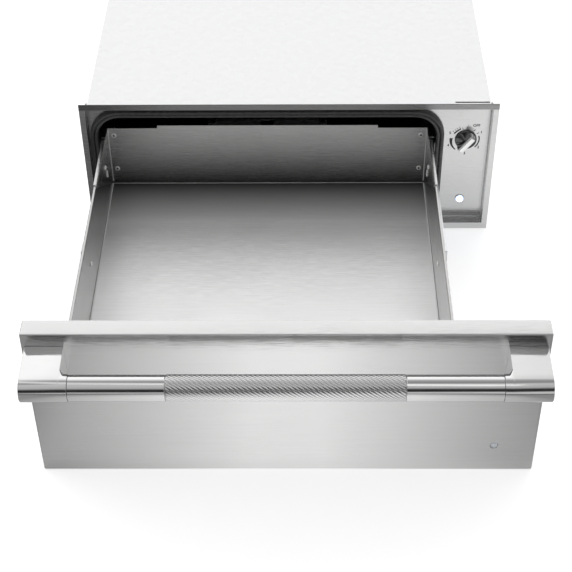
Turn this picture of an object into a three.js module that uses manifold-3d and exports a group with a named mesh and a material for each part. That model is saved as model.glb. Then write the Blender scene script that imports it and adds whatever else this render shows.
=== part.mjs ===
// A built-in warming drawer of the 27-inch class, standing open by its full travel.
//
// Millimetres. +X is the user's right, +Y goes into the cabinet, +Z is up.
// All positions below are counted from the middle of the front panel's top front edge.
// At the end one group moves the model so that its origin is on the underside of the base.

import * as THREE from "three";
import { mergeVertices } from "three/addons/utils/BufferGeometryUtils.js";
import Module from "manifold-3d";

const wasm = await Module();
wasm.setup();

// ---------------------------------------------------------------- driving sizes

const GAP = 0.3; // space left between pieces that touch
const SHEET = 1.2; // stainless and zinc-coated sheet
const THIN = 1; // enamelled and light sheet
const FAR = 40; // how far a cutter runs past what it cuts

const PANEL_WIDTH = 679.5; // 26 3/4 in
const PANEL_HEIGHT = 260;
const PANEL_DEPTH = 26.9;
const PANEL_BEND = 2;

const TRAVEL = 500; // from closed to the open drawer of the rest pose
const RAIL_TRAVEL = 270; // of the middle slide rails on the same stroke

const FRAME_FRONT = 529.4; // front of the face frame's flange, the drawer standing open
const FRAME_HALF_WIDTH = 330;
const FRAME_TOP = -9.8;
const FRAME_BOTTOM = -260.2;
const FLANGE_SIDE = 9.3;
const FLANGE_TOP = 10.6;
const FLANGE_BOTTOM = 12.6;
const RECESS_FACE = 547.4;
const FRAME_BACK = RECESS_FACE + SHEET;
const COOLING_SLOT_X = [262, 316]; // over the controls, through the frame's and the housing's top
const COOLING_SLOT_Y = [542, 545.6];

const PAN_MID = -35.1; // the drawer pan stands left of the middle, clear of the controls
const PAN_HALF = 257.1; // to the inside of a side wall
const PAN_FLOOR = -177;
const PAN_RIM = -68.3;
const ROLL_RADIUS = 2.15; // of the bead along a side wall's top edge
const PAN_BACK = 547.4;
const PAN_FRONT = 38.3;
const BACK_TOP = -67;
const BACK_RAISED_TOP = -61.7;
const BACK_RAISED = [-211, 142];
const LIP_RANGE = [398, 515]; // where the back panel's side flanges roll over the side walls
const LIP_RADIUS = 5;

const PLUG_HALF = 283;
const PLUG_TOP = -27;
const PLUG_BOTTOM = -241;
const PLUG_BACK = 38;

const SEAL_HALF = 283.8;
const SEAL_WIDTH = 12.8;
const SEAL_CORNER = 50; // radius of its outer edge
const SEAL_TOP = -30;
const SEAL_BOTTOM = -240;
const SEAL_FRONT = PLUG_BACK + TRAVEL + GAP;

const CAVITY_HALF = 271.6; // to the inside of the enamelled liner
const CAVITY_TOP = -42;
const CAVITY_FLOOR = -229;
const CAVITY_BACK = 1062;

const HOUSING_HALF = 318;
const HOUSING_TOP = -16;
const HOUSING_BOTTOM = -251;
const HOUSING_FRONT = FRAME_BACK + GAP;
const HOUSING_BACK = 1104;
const DIVIDER = 246.6; // left face of the wall between cavity and controls

const SLIDE_Z = -121;
const SLIDE_LENGTH = 500;
const CABINET_RAIL_FRONT = 550.5;
const MIDDLE_RAIL_FRONT = PLUG_BACK + TRAVEL + 1.5 - RAIL_TRAVEL;
const DRAWER_RAIL_FRONT = 40;
const STOP_LENGTH = 26;

const HANDLE_Y = -53.6;
const HANDLE_Z = -41.5;
const TUBE_RADIUS = 17.1;
const TUBE_BORE = 13.5;
const BRACKET_RADIUS = 18;
const BRACKET_TAPER = 0.067; // radians that the arm's top falls, and its underside rises, towards the tube
const BRACKET_OUTER = 335.2;
const BRACKET_INNER = 285.2;
const BRACKET_FILLET = 5;
const SLEEVE_END = 274.3;
const GRIP_HALF = 151.2;
const BOLT_X = 310;

const KNOB_X = 284;
const KNOB_Z = -90;
const KNOB_RADIUS = 17.5;
const KNOB_FRONT = 529.9;
const KNOB_TURN = 36.6; // degrees clockwise from upright, where the drawer is off
const LIGHT_X = 283; // the panel's window lines up with the lamp once the drawer is shut
const LIGHT_Z = -210;

const STRAP_MID = -40.6;
const STRAP_HALF = 91.5;
const STRAP_TOP = -195;
const STRAP_BACK = 759;
const STUD_OFFSET = 97.8;
const STUD_Y = 752;
const ELEMENT_Z = -203.9;
const ELEMENT_RADIUS = 4;
const ELEMENT_LEGS = [-216, -98, 20, 138];
const ELEMENT_FRONT = 650;
const ELEMENT_TURN_BACK = 990;
const ELEMENT_END = 1080;

const GLAND_X = 283;
const GLAND_Z = -212;

const BACK_SCREW_X = 246.6;
const BACK_SCREWS_Z = [-80.4, -146];
const FLANGE_SCREW = [483, -97];
const WALL_SCREW = [278, SLIDE_Z];
const SLOT = [495, -118];

// ---------------------------------------------------------------- colours

const steel = [0xc9cac9, 0.34, 1];
const polished = [0xdedfdf, 0.14, 1];
const zinc = [0xd9dcdd, 0.42, 0.8];
const enamel = [0x141414, 0.4, 0.1];
const silicone = [0x1b1b1c, 0.55, 0];
const wool = [0xd8cfa6, 0.95, 0];
const blackPlastic = [0x222224, 0.5, 0];
const paleLens = [0xf2f7ff, 0.15, 0];
const darkScrew = [0x2a2a2b, 0.35, 0.6];

// ---------------------------------------------------------------- helpers

// A closed three.js geometry as a solid for adding and cutting.
function solid(geometry) {
  const plain = geometry.clone();
  plain.deleteAttribute("normal");
  plain.deleteAttribute("uv");
  const merged = mergeVertices(plain, 1e-4);
  const mesh = new wasm.Mesh({
    numProp: 3,
    vertProperties: merged.attributes.position.array,
    triVerts: new Uint32Array(merged.index.array),
  });
  return new wasm.Manifold(mesh);
}

// A solid as a flat-shaded three.js geometry.
function surface(body) {
  const mesh = body.getMesh();
  const geometry = new THREE.BufferGeometry();
  geometry.setAttribute("position", new THREE.BufferAttribute(mesh.vertProperties, 3));
  geometry.setIndex(new THREE.BufferAttribute(mesh.triVerts, 1));
  const flat = geometry.toNonIndexed();
  flat.computeVertexNormals();
  return flat;
}

function join(...bodies) {
  return bodies.reduce((a, b) => a.add(b));
}

function cut(body, ...cutters) {
  return cutters.reduce((a, b) => a.subtract(b), body);
}

// A box given by its limits on each axis, in either order.
function block([x0, x1], [y0, y1], [z0, z1]) {
  const size = [Math.abs(x1 - x0), Math.abs(y1 - y0), Math.abs(z1 - z0)];
  const box = new THREE.BoxGeometry(...size);
  box.translate((x0 + x1) / 2, (y0 + y1) / 2, (z0 + z1) / 2);
  return solid(box);
}

// Round bars along each axis.
function rodX(y, z, radius, [x0, x1], sides = 24) {
  const rod = new THREE.CylinderGeometry(radius, radius, Math.abs(x1 - x0), sides);
  rod.rotateZ(Math.PI / 2);
  return solid(rod.translate((x0 + x1) / 2, y, z));
}

function rodY(x, z, radius, [y0, y1], sides = 24) {
  const rod = new THREE.CylinderGeometry(radius, radius, Math.abs(y1 - y0), sides);
  return solid(rod.translate(x, (y0 + y1) / 2, z));
}

function rodZ(x, y, radius, [z0, z1], sides = 24) {
  const rod = new THREE.CylinderGeometry(radius, radius, Math.abs(z1 - z0), sides);
  rod.rotateX(Math.PI / 2);
  return solid(rod.translate(x, y, (z0 + z1) / 2));
}

// A turned piece about a line along Y. The profile lists [radius, y] with y rising.
function turnedY(x, z, profile, sides = 24) {
  const points = profile.map(([r, y]) => new THREE.Vector2(r, y));
  return solid(new THREE.LatheGeometry(points, sides).translate(x, 0, z));
}

// An outline drawn as seen from the front, in X and Z, made thick along Y.
function plateXZ(shape, [y0, y1], bevel = 0) {
  const body = new THREE.ExtrudeGeometry(shape, {
    depth: y1 - y0 - 2 * bevel,
    bevelEnabled: bevel > 0,
    bevelThickness: bevel,
    bevelSize: bevel,
    bevelOffset: -bevel,
    bevelSegments: 2,
    curveSegments: 6,
  });
  body.rotateX(Math.PI / 2);
  return solid(body.translate(0, y1 - bevel, 0));
}

// An outline drawn as seen from the right, in Y and Z, made long along X.
function barYZ(shape, [x0, x1], curveSegments = 12) {
  const body = new THREE.ExtrudeGeometry(shape, { depth: x1 - x0, bevelEnabled: false, curveSegments });
  const yAxis = new THREE.Vector3(0, 1, 0);
  const zAxis = new THREE.Vector3(0, 0, 1);
  const xAxis = new THREE.Vector3(1, 0, 0);
  body.applyMatrix4(new THREE.Matrix4().makeBasis(yAxis, zAxis, xAxis));
  return solid(body.translate(x0, 0, 0));
}

// An outline drawn from above, in X and Y, made tall along Z.
function slabXY(shape, [z0, z1], curveSegments = 12) {
  const body = new THREE.ExtrudeGeometry(shape, { depth: z1 - z0, bevelEnabled: false, curveSegments });
  return solid(body.translate(0, 0, z0));
}

function polygon(points) {
  return new THREE.Shape(points.map(([a, b]) => new THREE.Vector2(a, b)));
}

// A rectangle with rounded corners.
function roundedBox([a0, a1], [b0, b1], radius) {
  const shape = new THREE.Shape();
  shape.moveTo(a0 + radius, b0);
  shape.lineTo(a1 - radius, b0);
  shape.absarc(a1 - radius, b0 + radius, radius, -Math.PI / 2, 0, false);
  shape.lineTo(a1, b1 - radius);
  shape.absarc(a1 - radius, b1 - radius, radius, 0, Math.PI / 2, false);
  shape.lineTo(a0 + radius, b1);
  shape.absarc(a0 + radius, b1 - radius, radius, Math.PI / 2, Math.PI, false);
  shape.lineTo(a0, b0 + radius);
  shape.absarc(a0 + radius, b0 + radius, radius, Math.PI, 1.5 * Math.PI, false);
  return shape;
}

// Distances from the pan's middle, on the left (side -1) or the right (side 1), as limits on X.
function outFromPan(side, near, far) {
  return side < 0 ? [PAN_MID - far, PAN_MID - near] : [PAN_MID + near, PAN_MID + far];
}

const open = new THREE.Group();

function piece(name, body, [color, roughness, metalness]) {
  const material = new THREE.MeshStandardMaterial({ color, roughness, metalness });
  const mesh = new THREE.Mesh(surface(body), material);
  mesh.name = name;
  open.add(mesh);
}

const sides = [
  ["left", -1],
  ["right", 1],
];

// ---------------------------------------------------------------- drawer front

function frontSkin() {
  const half = PANEL_WIDTH / 2;
  const outline = polygon([
    [-half, -PANEL_HEIGHT],
    [half, -PANEL_HEIGHT],
    [half, 0],
    [-half, 0],
  ]);
  const whole = plateXZ(outline, [0, PANEL_DEPTH + FAR], PANEL_BEND);
  const inner = half - SHEET;
  const hollow = block([-inner, inner], [SHEET, PANEL_DEPTH], [SHEET - PANEL_HEIGHT, -SHEET]);
  const behindY = [PANEL_DEPTH, PANEL_DEPTH + 2 * FAR];
  const behind = block([-half - FAR, half + FAR], behindY, [FAR, -PANEL_HEIGHT - FAR]);
  const window = rodY(LIGHT_X, LIGHT_Z, 5.6, [-FAR, FAR]);
  const boltHoles = [-BOLT_X, BOLT_X].map((x) => rodY(x, HANDLE_Z, 3.3, [-FAR, FAR]));
  return cut(whole, behind, hollow, window, ...boltHoles);
}

function frontLiner() {
  const half = PANEL_WIDTH / 2 - SHEET - GAP;
  const back = PANEL_DEPTH - GAP;
  const flat = block([-half, half], [back - SHEET, back], [SHEET + GAP - PANEL_HEIGHT, -SHEET - GAP]);
  const limits = (inset) => [
    [PAN_MID - PLUG_HALF + inset, PAN_MID + PLUG_HALF - inset],
    [PLUG_BOTTOM + inset, PLUG_TOP - inset],
  ];
  const plug = plateXZ(roundedBox(...limits(0), 30), [back - SHEET, PLUG_BACK]);
  const hollow = plateXZ(roundedBox(...limits(SHEET), 30 - SHEET), [back - SHEET - FAR, PLUG_BACK - SHEET]);
  return cut(join(flat, plug), hollow, rodY(LIGHT_X, LIGHT_Z, 4.6, [0, FAR]));
}

function frontInsulation() {
  const half = PANEL_WIDTH / 2 - SHEET - GAP;
  const back = PANEL_DEPTH - SHEET - 2 * GAP;
  const slab = block([-half, half], [SHEET + GAP, back], [SHEET + GAP - PANEL_HEIGHT, -SHEET - GAP]);
  const headPockets = [-BOLT_X, BOLT_X].map((x) => rodY(x, HANDLE_Z, 7, [0, 8]));
  return cut(slab, rodY(LIGHT_X, LIGHT_Z, 5.8, [0, FAR]), ...headPockets);
}

function windowLens() {
  return turnedY(LIGHT_X, LIGHT_Z, [
    [0, -0.9],
    [2.8, -0.6],
    [5.3, 0.2],
    [5.3, 2.4],
    [0, 2.4],
  ]);
}

// ---------------------------------------------------------------- handle

// An arm that narrows from the panel to the tube and ends in a round nose.
function handleBracket(side) {
  const footHalf = BRACKET_RADIUS / Math.cos(BRACKET_TAPER) - HANDLE_Y * Math.tan(BRACKET_TAPER);
  const noseTop = Math.PI / 2 + BRACKET_TAPER;
  const noseBottom = 1.5 * Math.PI - BRACKET_TAPER;
  const profile = new THREE.Shape();
  profile.moveTo(-GAP, HANDLE_Z - footHalf);
  profile.lineTo(-GAP, HANDLE_Z + footHalf);
  profile.absarc(HANDLE_Y, HANDLE_Z, BRACKET_RADIUS, noseTop, noseBottom, false);
  const limits = (near, far) => (side < 0 ? [-far, -near] : [near, far]);
  const arm = barYZ(profile, limits(BRACKET_INNER, BRACKET_OUTER), 20);
  const sleeve = rodX(HANDLE_Y, HANDLE_Z, BRACKET_RADIUS, limits(SLEEVE_END, BRACKET_INNER + 5), 36);
  const bore = rodY(side * BOLT_X, HANDLE_Z, 3.3, [-20, FAR]);
  return cut(join(arm, sleeve, handleFillet(side)), bore);
}

// The hollow curve that carries the arm's inner side into the tube.
function handleFillet(side) {
  const start = BRACKET_INNER - BRACKET_FILLET;
  const behindTube = HANDLE_Y + TUBE_RADIUS;
  const fillet = new THREE.Shape();
  fillet.moveTo(side * (BRACKET_INNER + 1), HANDLE_Y);
  fillet.lineTo(side * start, HANDLE_Y);
  fillet.lineTo(side * start, behindTube - 1);
  for (let step = 1; step <= 6; step++) {
    const angle = (step / 6) * (Math.PI / 2);
    const x = start + BRACKET_FILLET * Math.sin(angle);
    const y = behindTube - 1 + BRACKET_FILLET * (1 - Math.cos(angle));
    fillet.lineTo(side * x, y);
  }
  fillet.lineTo(side * (BRACKET_INNER + 1), behindTube - 1 + BRACKET_FILLET);
  return slabXY(fillet, [HANDLE_Z - 12, HANDLE_Z + 12]);
}

// The tube is a little thinner under the knurled sleeve.
function handleTube() {
  const end = SLEEVE_END - GAP;
  const bar = rodX(HANDLE_Y, HANDLE_Z, TUBE_RADIUS, [-end, end], 36);
  const waist = GRIP_HALF + GAP;
  const ring = cut(
    rodX(HANDLE_Y, HANDLE_Z, TUBE_RADIUS + 5, [-waist, waist], 36),
    rodX(HANDLE_Y, HANDLE_Z, TUBE_RADIUS - 1.3, [-waist, waist], 36),
  );
  return cut(bar, ring, rodX(HANDLE_Y, HANDLE_Z, TUBE_BORE, [-end - 1, end + 1], 36));
}

function handleGrip() {
  const sleeve = rodX(HANDLE_Y, HANDLE_Z, TUBE_RADIUS + 0.3, [-GRIP_HALF, GRIP_HALF], 48);
  return cut(sleeve, rodX(HANDLE_Y, HANDLE_Z, TUBE_RADIUS - 0.9, [-GRIP_HALF - 1, GRIP_HALF + 1], 36));
}

function handleBolt(x) {
  const head = rodY(x, HANDLE_Z, 6, [SHEET + GAP, 6]);
  return join(head, rodY(x, HANDLE_Z, 3, [-18, 2]));
}

// ---------------------------------------------------------------- drawer pan

function panFloor() {
  const half = PAN_HALF - 1.7;
  return block([PAN_MID - half, PAN_MID + half], [PAN_FRONT, PAN_BACK - GAP], [PAN_FLOOR - SHEET, PAN_FLOOR]);
}

// A side wall: rolled top edge, foot under the floor and flange behind the back panel.
function panSide(side) {
  const x = (near, far) => outFromPan(side, near, far);
  const outer = PAN_HALF + SHEET;
  const foot = [PAN_FLOOR - 2 * SHEET - GAP, PAN_FLOOR - SHEET - GAP];
  const flangeBack = PAN_BACK + 2 * SHEET + GAP;
  const whole = [PAN_FRONT, flangeBack];
  const rollEnd = LIP_RANGE[0] - GAP;
  const body = join(
    block(x(PAN_HALF, outer), whole, [foot[0], PAN_RIM - ROLL_RADIUS]),
    rolledEdge(side, [PAN_FRONT, rollEnd]),
    block(x(PAN_HALF - 12, outer), whole, foot),
    block(x(PAN_HALF - 18, outer), [flangeBack - SHEET, flangeBack], [foot[0], PAN_RIM - 2]),
  );
  const screwHoles = BACK_SCREWS_Z.map((z) => rodY(PAN_MID + side * BACK_SCREW_X, z, 2, [540, 560], 12));
  return cut(body, ...screwHoles, ...wallHoles(side));
}

// The bead along a wall's top edge: a half round that ends in a short straight lip outside.
function rolledEdge(side, y) {
  const middle = PAN_MID + side * (PAN_HALF + ROLL_RADIUS);
  const centre = PAN_RIM - ROLL_RADIUS;
  const section = new THREE.Shape();
  section.moveTo(middle - ROLL_RADIUS, centre - 1.2);
  section.lineTo(middle + ROLL_RADIUS, centre - 1.2);
  section.absarc(middle, centre, ROLL_RADIUS, 0, Math.PI, false);
  return plateXZ(section, y);
}

// Holes through a side wall and the back panel's flange on it: two screws and one slot.
function wallHoles(side) {
  const through = outFromPan(side, PAN_HALF - 6, PAN_HALF + 6);
  const round = [FLANGE_SCREW, WALL_SCREW].map(([y, z]) => rodX(y, z, 2, through, 12));
  const slot = block(through, [SLOT[0] - 1.6, SLOT[0] + 1.6], [SLOT[1] - 4, SLOT[1] + 4]);
  return [...round, slot];
}

function panBack() {
  const half = PAN_HALF - GAP;
  const y = [PAN_BACK, PAN_BACK + SHEET];
  const low = PAN_FLOOR - SHEET;
  const plate = block([PAN_MID - half, PAN_MID + half], y, [low, BACK_TOP]);
  const raised = block(BACK_RAISED, y, [low, BACK_RAISED_TOP]);
  const flanges = sides.flatMap(([, side]) => backFlange(side, half));
  const screwHoles = sides.flatMap(([, side]) =>
    BACK_SCREWS_Z.map((z) => rodY(PAN_MID + side * BACK_SCREW_X, z, 2, [540, 560], 12)),
  );
  const sideHoles = sides.flatMap(([, side]) => wallHoles(side));
  return cut(join(plate, raised, ...flanges), ...screwHoles, ...sideHoles);
}

// A three-cornered flange that runs forward inside the wall, and the lip it rolls over the wall.
function backFlange(side, half) {
  const top = BACK_TOP + 0.8 - LIP_RADIUS;
  const triangle = polygon([
    [PAN_BACK + 0.5, PAN_FLOOR + 0.5],
    [PAN_BACK + 0.5, BACK_TOP],
    [LIP_RANGE[1], BACK_TOP + 0.8],
    [LIP_RANGE[1], top],
    [LIP_RANGE[0], top],
  ]);
  const wall = barYZ(triangle, outFromPan(side, half - THIN, half));
  const steps = [0, 1, 2, 3, 4, 5, 6].map((step) => (step / 6) * (Math.PI / 2));
  const start = half - THIN;
  const arc = (radius) =>
    steps.map((angle) => [start + LIP_RADIUS - radius * Math.cos(angle), top + radius * Math.sin(angle)]);
  const end = start + LIP_RADIUS + 0.6;
  const outline = [...arc(LIP_RADIUS), [end, top + LIP_RADIUS], [end, top + LIP_RADIUS - THIN]];
  outline.push(...arc(LIP_RADIUS - THIN).reverse(), [half, top - 0.5], [start, top - 0.5]);
  const lip = plateXZ(polygon(outline.map(([x, z]) => [PAN_MID + side * x, z])), LIP_RANGE);
  return [wall, lip];
}

function backScrew(side, z) {
  return turnedY(PAN_MID + side * BACK_SCREW_X, z, [
    [0, PAN_BACK - 2.4],
    [2.4, PAN_BACK - 2],
    [4.1, PAN_BACK - 0.9],
    [4.1, PAN_BACK - GAP],
    [1.6, PAN_BACK - GAP],
    [1.6, PAN_BACK + 5],
    [0, PAN_BACK + 5],
  ]);
}

// A screw through a side wall, its head inside the pan.
function sideScrew(side, [y, z], seat, shank) {
  const head = rodX(y, z, 4, outFromPan(side, seat - 1.6, seat), 16);
  const crown = rodX(y, z, 2.4, outFromPan(side, seat - 2.3, seat), 16);
  return join(head, crown, rodX(y, z, 1.6, outFromPan(side, seat - 1, shank), 16));
}

// ---------------------------------------------------------------- slides

// A rail: a plate on edge with a flange along its top and bottom.
function channel(side, [plateNear, plateFar], flangeReach, halfHeight, [y0, y1]) {
  const near = Math.min(plateNear, flangeReach);
  const far = Math.max(plateFar, flangeReach);
  const z = [SLIDE_Z - halfHeight, SLIDE_Z + halfHeight];
  const plate = block(outFromPan(side, plateNear, plateFar), [y0, y1], z);
  const flange = (edge) => block(outFromPan(side, near, far), [y0, y1], [edge - SHEET, edge]);
  return join(plate, flange(z[1]), flange(z[0] + SHEET));
}

// Its top flange starts behind the place that the end stop takes in the closed drawer.
function cabinetRail(side) {
  const plate = CAVITY_HALF - GAP;
  const y = [CABINET_RAIL_FRONT, CABINET_RAIL_FRONT + SLIDE_LENGTH];
  const rail = channel(side, [plate - SHEET, plate], 262.3, 22.5, y);
  const stopEnd = MIDDLE_RAIL_FRONT + RAIL_TRAVEL + STOP_LENGTH + 1;
  const across = outFromPan(side, 250, plate - SHEET);
  return cut(rail, block(across, [y[0] - 1, stopEnd], [SLIDE_Z + 20, SLIDE_Z + 30]));
}

function middleRail(side) {
  const y = [MIDDLE_RAIL_FRONT, MIDDLE_RAIL_FRONT + SLIDE_LENGTH];
  return channel(side, [267.2, 268.4], 261.6, 18.3, y);
}

function drawerRail(side) {
  const plate = PAN_HALF + SHEET + GAP;
  const y = [DRAWER_RAIL_FRONT, DRAWER_RAIL_FRONT + SLIDE_LENGTH];
  const rail = channel(side, [plate, plate + SHEET], 265.5, 14, y);
  const hole = rodX(WALL_SCREW[0], WALL_SCREW[1], 2, outFromPan(side, PAN_HALF, PAN_HALF + 6), 12);
  return cut(rail, hole);
}

// The end stop that rides on the front of a middle rail.
function railStop(side) {
  const y = [MIDDLE_RAIL_FRONT, MIDDLE_RAIL_FRONT + STOP_LENGTH];
  const top = SLIDE_Z + 18.3 + GAP;
  const body = block(outFromPan(side, 262, 268), y, [top, top + 12]);
  const step = block(outFromPan(side, 250, 280), [y[1] - 6, y[1] + 1], [top + 6, top + 20]);
  return cut(body, step);
}

// ---------------------------------------------------------------- face frame and seal

// A flat flange with a tray behind it, whose floor carries the seal, the knob and the lamp.
function faceFrame() {
  const half = FRAME_HALF_WIDTH;
  const inner = half - FLANGE_SIDE;
  const [bottom, top] = [FRAME_BOTTOM + FLANGE_BOTTOM, FRAME_TOP - FLANGE_TOP];
  const flange = block([-half, half], [FRAME_FRONT, FRAME_FRONT + SHEET], [FRAME_BOTTOM, FRAME_TOP]);
  const outer = inner + SHEET;
  const tray = block([-outer, outer], [FRAME_FRONT, FRAME_BACK], [bottom - SHEET, top + SHEET]);
  const recess = block([-inner, inner], [FRAME_FRONT - FAR, RECESS_FACE], [bottom, top]);
  const openingHalf = CAVITY_HALF + 0.4;
  const openingShape = roundedBox(
    [PAN_MID - openingHalf, PAN_MID + openingHalf],
    [CAVITY_FLOOR - 0.6, CAVITY_TOP + 0.6],
    SEAL_CORNER - SEAL_WIDTH,
  );
  const opening = plateXZ(openingShape, [FRAME_FRONT, FRAME_BACK + FAR]);
  const coolingSlot = block(COOLING_SLOT_X, COOLING_SLOT_Y, [top - 1, top + SHEET + 1]);
  return cut(join(flange, tray), recess, opening, coolingSlot, ...recessHoles());
}

function recessHoles() {
  const y = [RECESS_FACE - 2, FRAME_BACK + 2];
  return [rodY(KNOB_X, KNOB_Z, 6, y), rodY(LIGHT_X, LIGHT_Z, 5.4, y)];
}

// A ring that follows the opening, between two distances in from the seal's outer edge.
function sealRing(from, to, y, bevel) {
  const limits = (inset) => [
    [PAN_MID - SEAL_HALF + inset, PAN_MID + SEAL_HALF - inset],
    [SEAL_BOTTOM + inset, SEAL_TOP - inset],
  ];
  const shape = roundedBox(...limits(from), SEAL_CORNER - from);
  shape.holes.push(new THREE.Path(roundedBox(...limits(to), SEAL_CORNER - to).getPoints(6)));
  return plateXZ(shape, y, bevel);
}

function drawerSeal() {
  const back = RECESS_FACE - GAP;
  const base = sealRing(0, SEAL_WIDTH, [back - 3, back], 0);
  const outerLobe = sealRing(0.4, 6.2, [SEAL_FRONT, back - 1], 1.6);
  const innerLobe = sealRing(6.6, SEAL_WIDTH - 0.2, [SEAL_FRONT + 1.2, back - 1], 1.6);
  return join(base, outerLobe, innerLobe);
}

// ---------------------------------------------------------------- housing and cavity

function cavityLiner() {
  const limits = (grow) => [
    [PAN_MID - CAVITY_HALF - grow, PAN_MID + CAVITY_HALF + grow],
    [CAVITY_FLOOR - grow, CAVITY_TOP + grow],
  ];
  const box = (grow, y) => {
    const [x, z] = limits(grow);
    return block(x, y, z);
  };
  const shell = box(THIN, [HOUSING_FRONT, CAVITY_BACK + THIN]);
  const flange = box(7, [HOUSING_FRONT, HOUSING_FRONT + THIN]);
  const inside = box(0, [HOUSING_FRONT - 1, CAVITY_BACK]);
  const ends = [ELEMENT_LEGS[0], ELEMENT_LEGS[3]];
  const terminalHoles = ends.map((x) => rodY(x, ELEMENT_Z, 4.6, [CAVITY_BACK - 5, CAVITY_BACK + 5]));
  return cut(join(shell, flange), inside, ...terminalHoles);
}

// One blanket goes round the liner; a second slab closes its back.
function insulationBlanket() {
  const left = GAP + SHEET - HOUSING_HALF;
  const x = [left, DIVIDER - GAP];
  const z = [HOUSING_BOTTOM + SHEET + GAP, HOUSING_TOP - SHEET - GAP];
  const y = [HOUSING_FRONT + THIN + GAP, CAVITY_BACK + THIN];
  const reach = CAVITY_HALF + THIN + GAP;
  const inside = block(
    [PAN_MID - reach, PAN_MID + reach],
    [y[0] - 1, y[1] + 1],
    [CAVITY_FLOOR - THIN - GAP, CAVITY_TOP + THIN + GAP],
  );
  return cut(block(x, y, z), inside);
}

function insulationRear() {
  const x = [GAP + SHEET - HOUSING_HALF, DIVIDER - GAP];
  const y = [CAVITY_BACK + THIN + GAP, 1090];
  const z = [HOUSING_BOTTOM + SHEET + GAP, HOUSING_TOP - SHEET - GAP];
  const ends = [ELEMENT_LEGS[0], ELEMENT_LEGS[3]];
  const terminalHoles = ends.map((end) => rodY(end, ELEMENT_Z, 7, [1060, 1095]));
  const limitPocket = rodY(PAN_MID, -130, 11, [1060, 1079]);
  return cut(block(x, y, z), limitPocket, ...terminalHoles);
}

function housingBase() {
  const z = [HOUSING_BOTTOM, HOUSING_BOTTOM + SHEET];
  return block([-HOUSING_HALF, HOUSING_HALF], [HOUSING_FRONT, HOUSING_BACK], z);
}

// It runs forward over the frame's tray, up to the flange, and the cooling slot goes through it.
function housingTop() {
  const y = [FRAME_FRONT + SHEET + GAP, HOUSING_BACK - SHEET - GAP];
  const plate = block([-HOUSING_HALF, HOUSING_HALF], y, [HOUSING_TOP - SHEET, HOUSING_TOP]);
  const coolingSlot = block(COOLING_SLOT_X, COOLING_SLOT_Y, [HOUSING_TOP - 5, HOUSING_TOP + 5]);
  return cut(plate, coolingSlot);
}

function housingSide(side) {
  const x = [side * HOUSING_HALF, side * (HOUSING_HALF - SHEET)];
  const y = [HOUSING_FRONT, HOUSING_BACK - SHEET - GAP];
  const z = [HOUSING_BOTTOM + SHEET + GAP, HOUSING_TOP - SHEET - GAP];
  return block(x, y, z);
}

function rearCover() {
  const y = [HOUSING_BACK - SHEET, HOUSING_BACK];
  const z = [HOUSING_BOTTOM + SHEET + GAP, HOUSING_TOP];
  const plate = block([-HOUSING_HALF, HOUSING_HALF], y, z);
  const through = [HOUSING_BACK - FAR, HOUSING_BACK + FAR];
  const glandHole = rodY(GLAND_X, GLAND_Z, 11, through);
  const slots = [];
  for (let row = 0; row < 6; row++) {
    const slotZ = -60 - row * 12;
    slots.push(block([260, 306], through, [slotZ, slotZ + 4]));
  }
  return cut(plate, glandHole, ...slots);
}

function controlDivider() {
  const y = [HOUSING_FRONT + THIN + GAP, HOUSING_BACK - SHEET - GAP];
  const z = [HOUSING_BOTTOM + SHEET + GAP, HOUSING_TOP - SHEET - GAP];
  return block([DIVIDER, DIVIDER + SHEET], y, z);
}

// ---------------------------------------------------------------- controls

function controlKnob() {
  const skirtFront = 541.4;
  const back = RECESS_FACE - GAP;
  const skirt = turnedY(
    0,
    0,
    [
      [0, skirtFront],
      [KNOB_RADIUS - 2, skirtFront],
      [KNOB_RADIUS, skirtFront + 2],
      [KNOB_RADIUS, back],
      [0, back],
    ],
    40,
  );
  const bar = block([-5.8, 5.8], [KNOB_FRONT, skirtFront + 1], [-FAR, FAR]);
  const round = turnedY(
    0,
    0,
    [
      [0, KNOB_FRONT],
      [KNOB_RADIUS - 3, KNOB_FRONT],
      [KNOB_RADIUS - 1, KNOB_FRONT + 2],
      [KNOB_RADIUS - 1, skirtFront + 1],
      [0, skirtFront + 1],
    ],
    40,
  );
  const shaftHole = rodY(0, 0, 3.3, [KNOB_FRONT + 3, back + 5]);
  const bushingHole = rodY(0, 0, 6.4, [RECESS_FACE - 4, back + 5]);
  const upright = cut(join(skirt, bar.intersect(round)), shaftHole, bushingHole);
  return upright.rotate([0, KNOB_TURN, 0]).translate([KNOB_X, 0, KNOB_Z]);
}

function switchShaft() {
  return rodY(KNOB_X, KNOB_Z, 3, [KNOB_FRONT + 3.4, 558]);
}

function heatSwitch() {
  const body = block([KNOB_X - 20, KNOB_X + 20], [552, 582], [KNOB_Z - 20, KNOB_Z + 20]);
  const bushing = rodY(KNOB_X, KNOB_Z, 5.6, [RECESS_FACE - 3.4, 553]);
  const blades = [-12, 0, 12].map((dx) => {
    const x = KNOB_X + dx;
    return block([x - 3, x + 3], [581, 591], [KNOB_Z - 0.4, KNOB_Z + 0.4]);
  });
  return cut(join(body, bushing, ...blades), rodY(KNOB_X, KNOB_Z, 3.4, [530, 560]));
}

function indicatorLens() {
  return turnedY(LIGHT_X, LIGHT_Z, [
    [0, 543.4],
    [3.4, 544],
    [5.6, 545.4],
    [6.3, RECESS_FACE - GAP],
    [5, RECESS_FACE - GAP],
    [5, 552],
    [0, 552],
  ]);
}

function indicatorLamp() {
  const body = rodY(LIGHT_X, LIGHT_Z, 7, [552.3, 574]);
  const blades = [-4, 4].map((dx) => {
    const x = LIGHT_X + dx;
    return block([x - 0.4, x + 0.4], [573, 582], [LIGHT_Z - 2.4, LIGHT_Z + 2.4]);
  });
  return join(body, ...blades);
}

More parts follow.
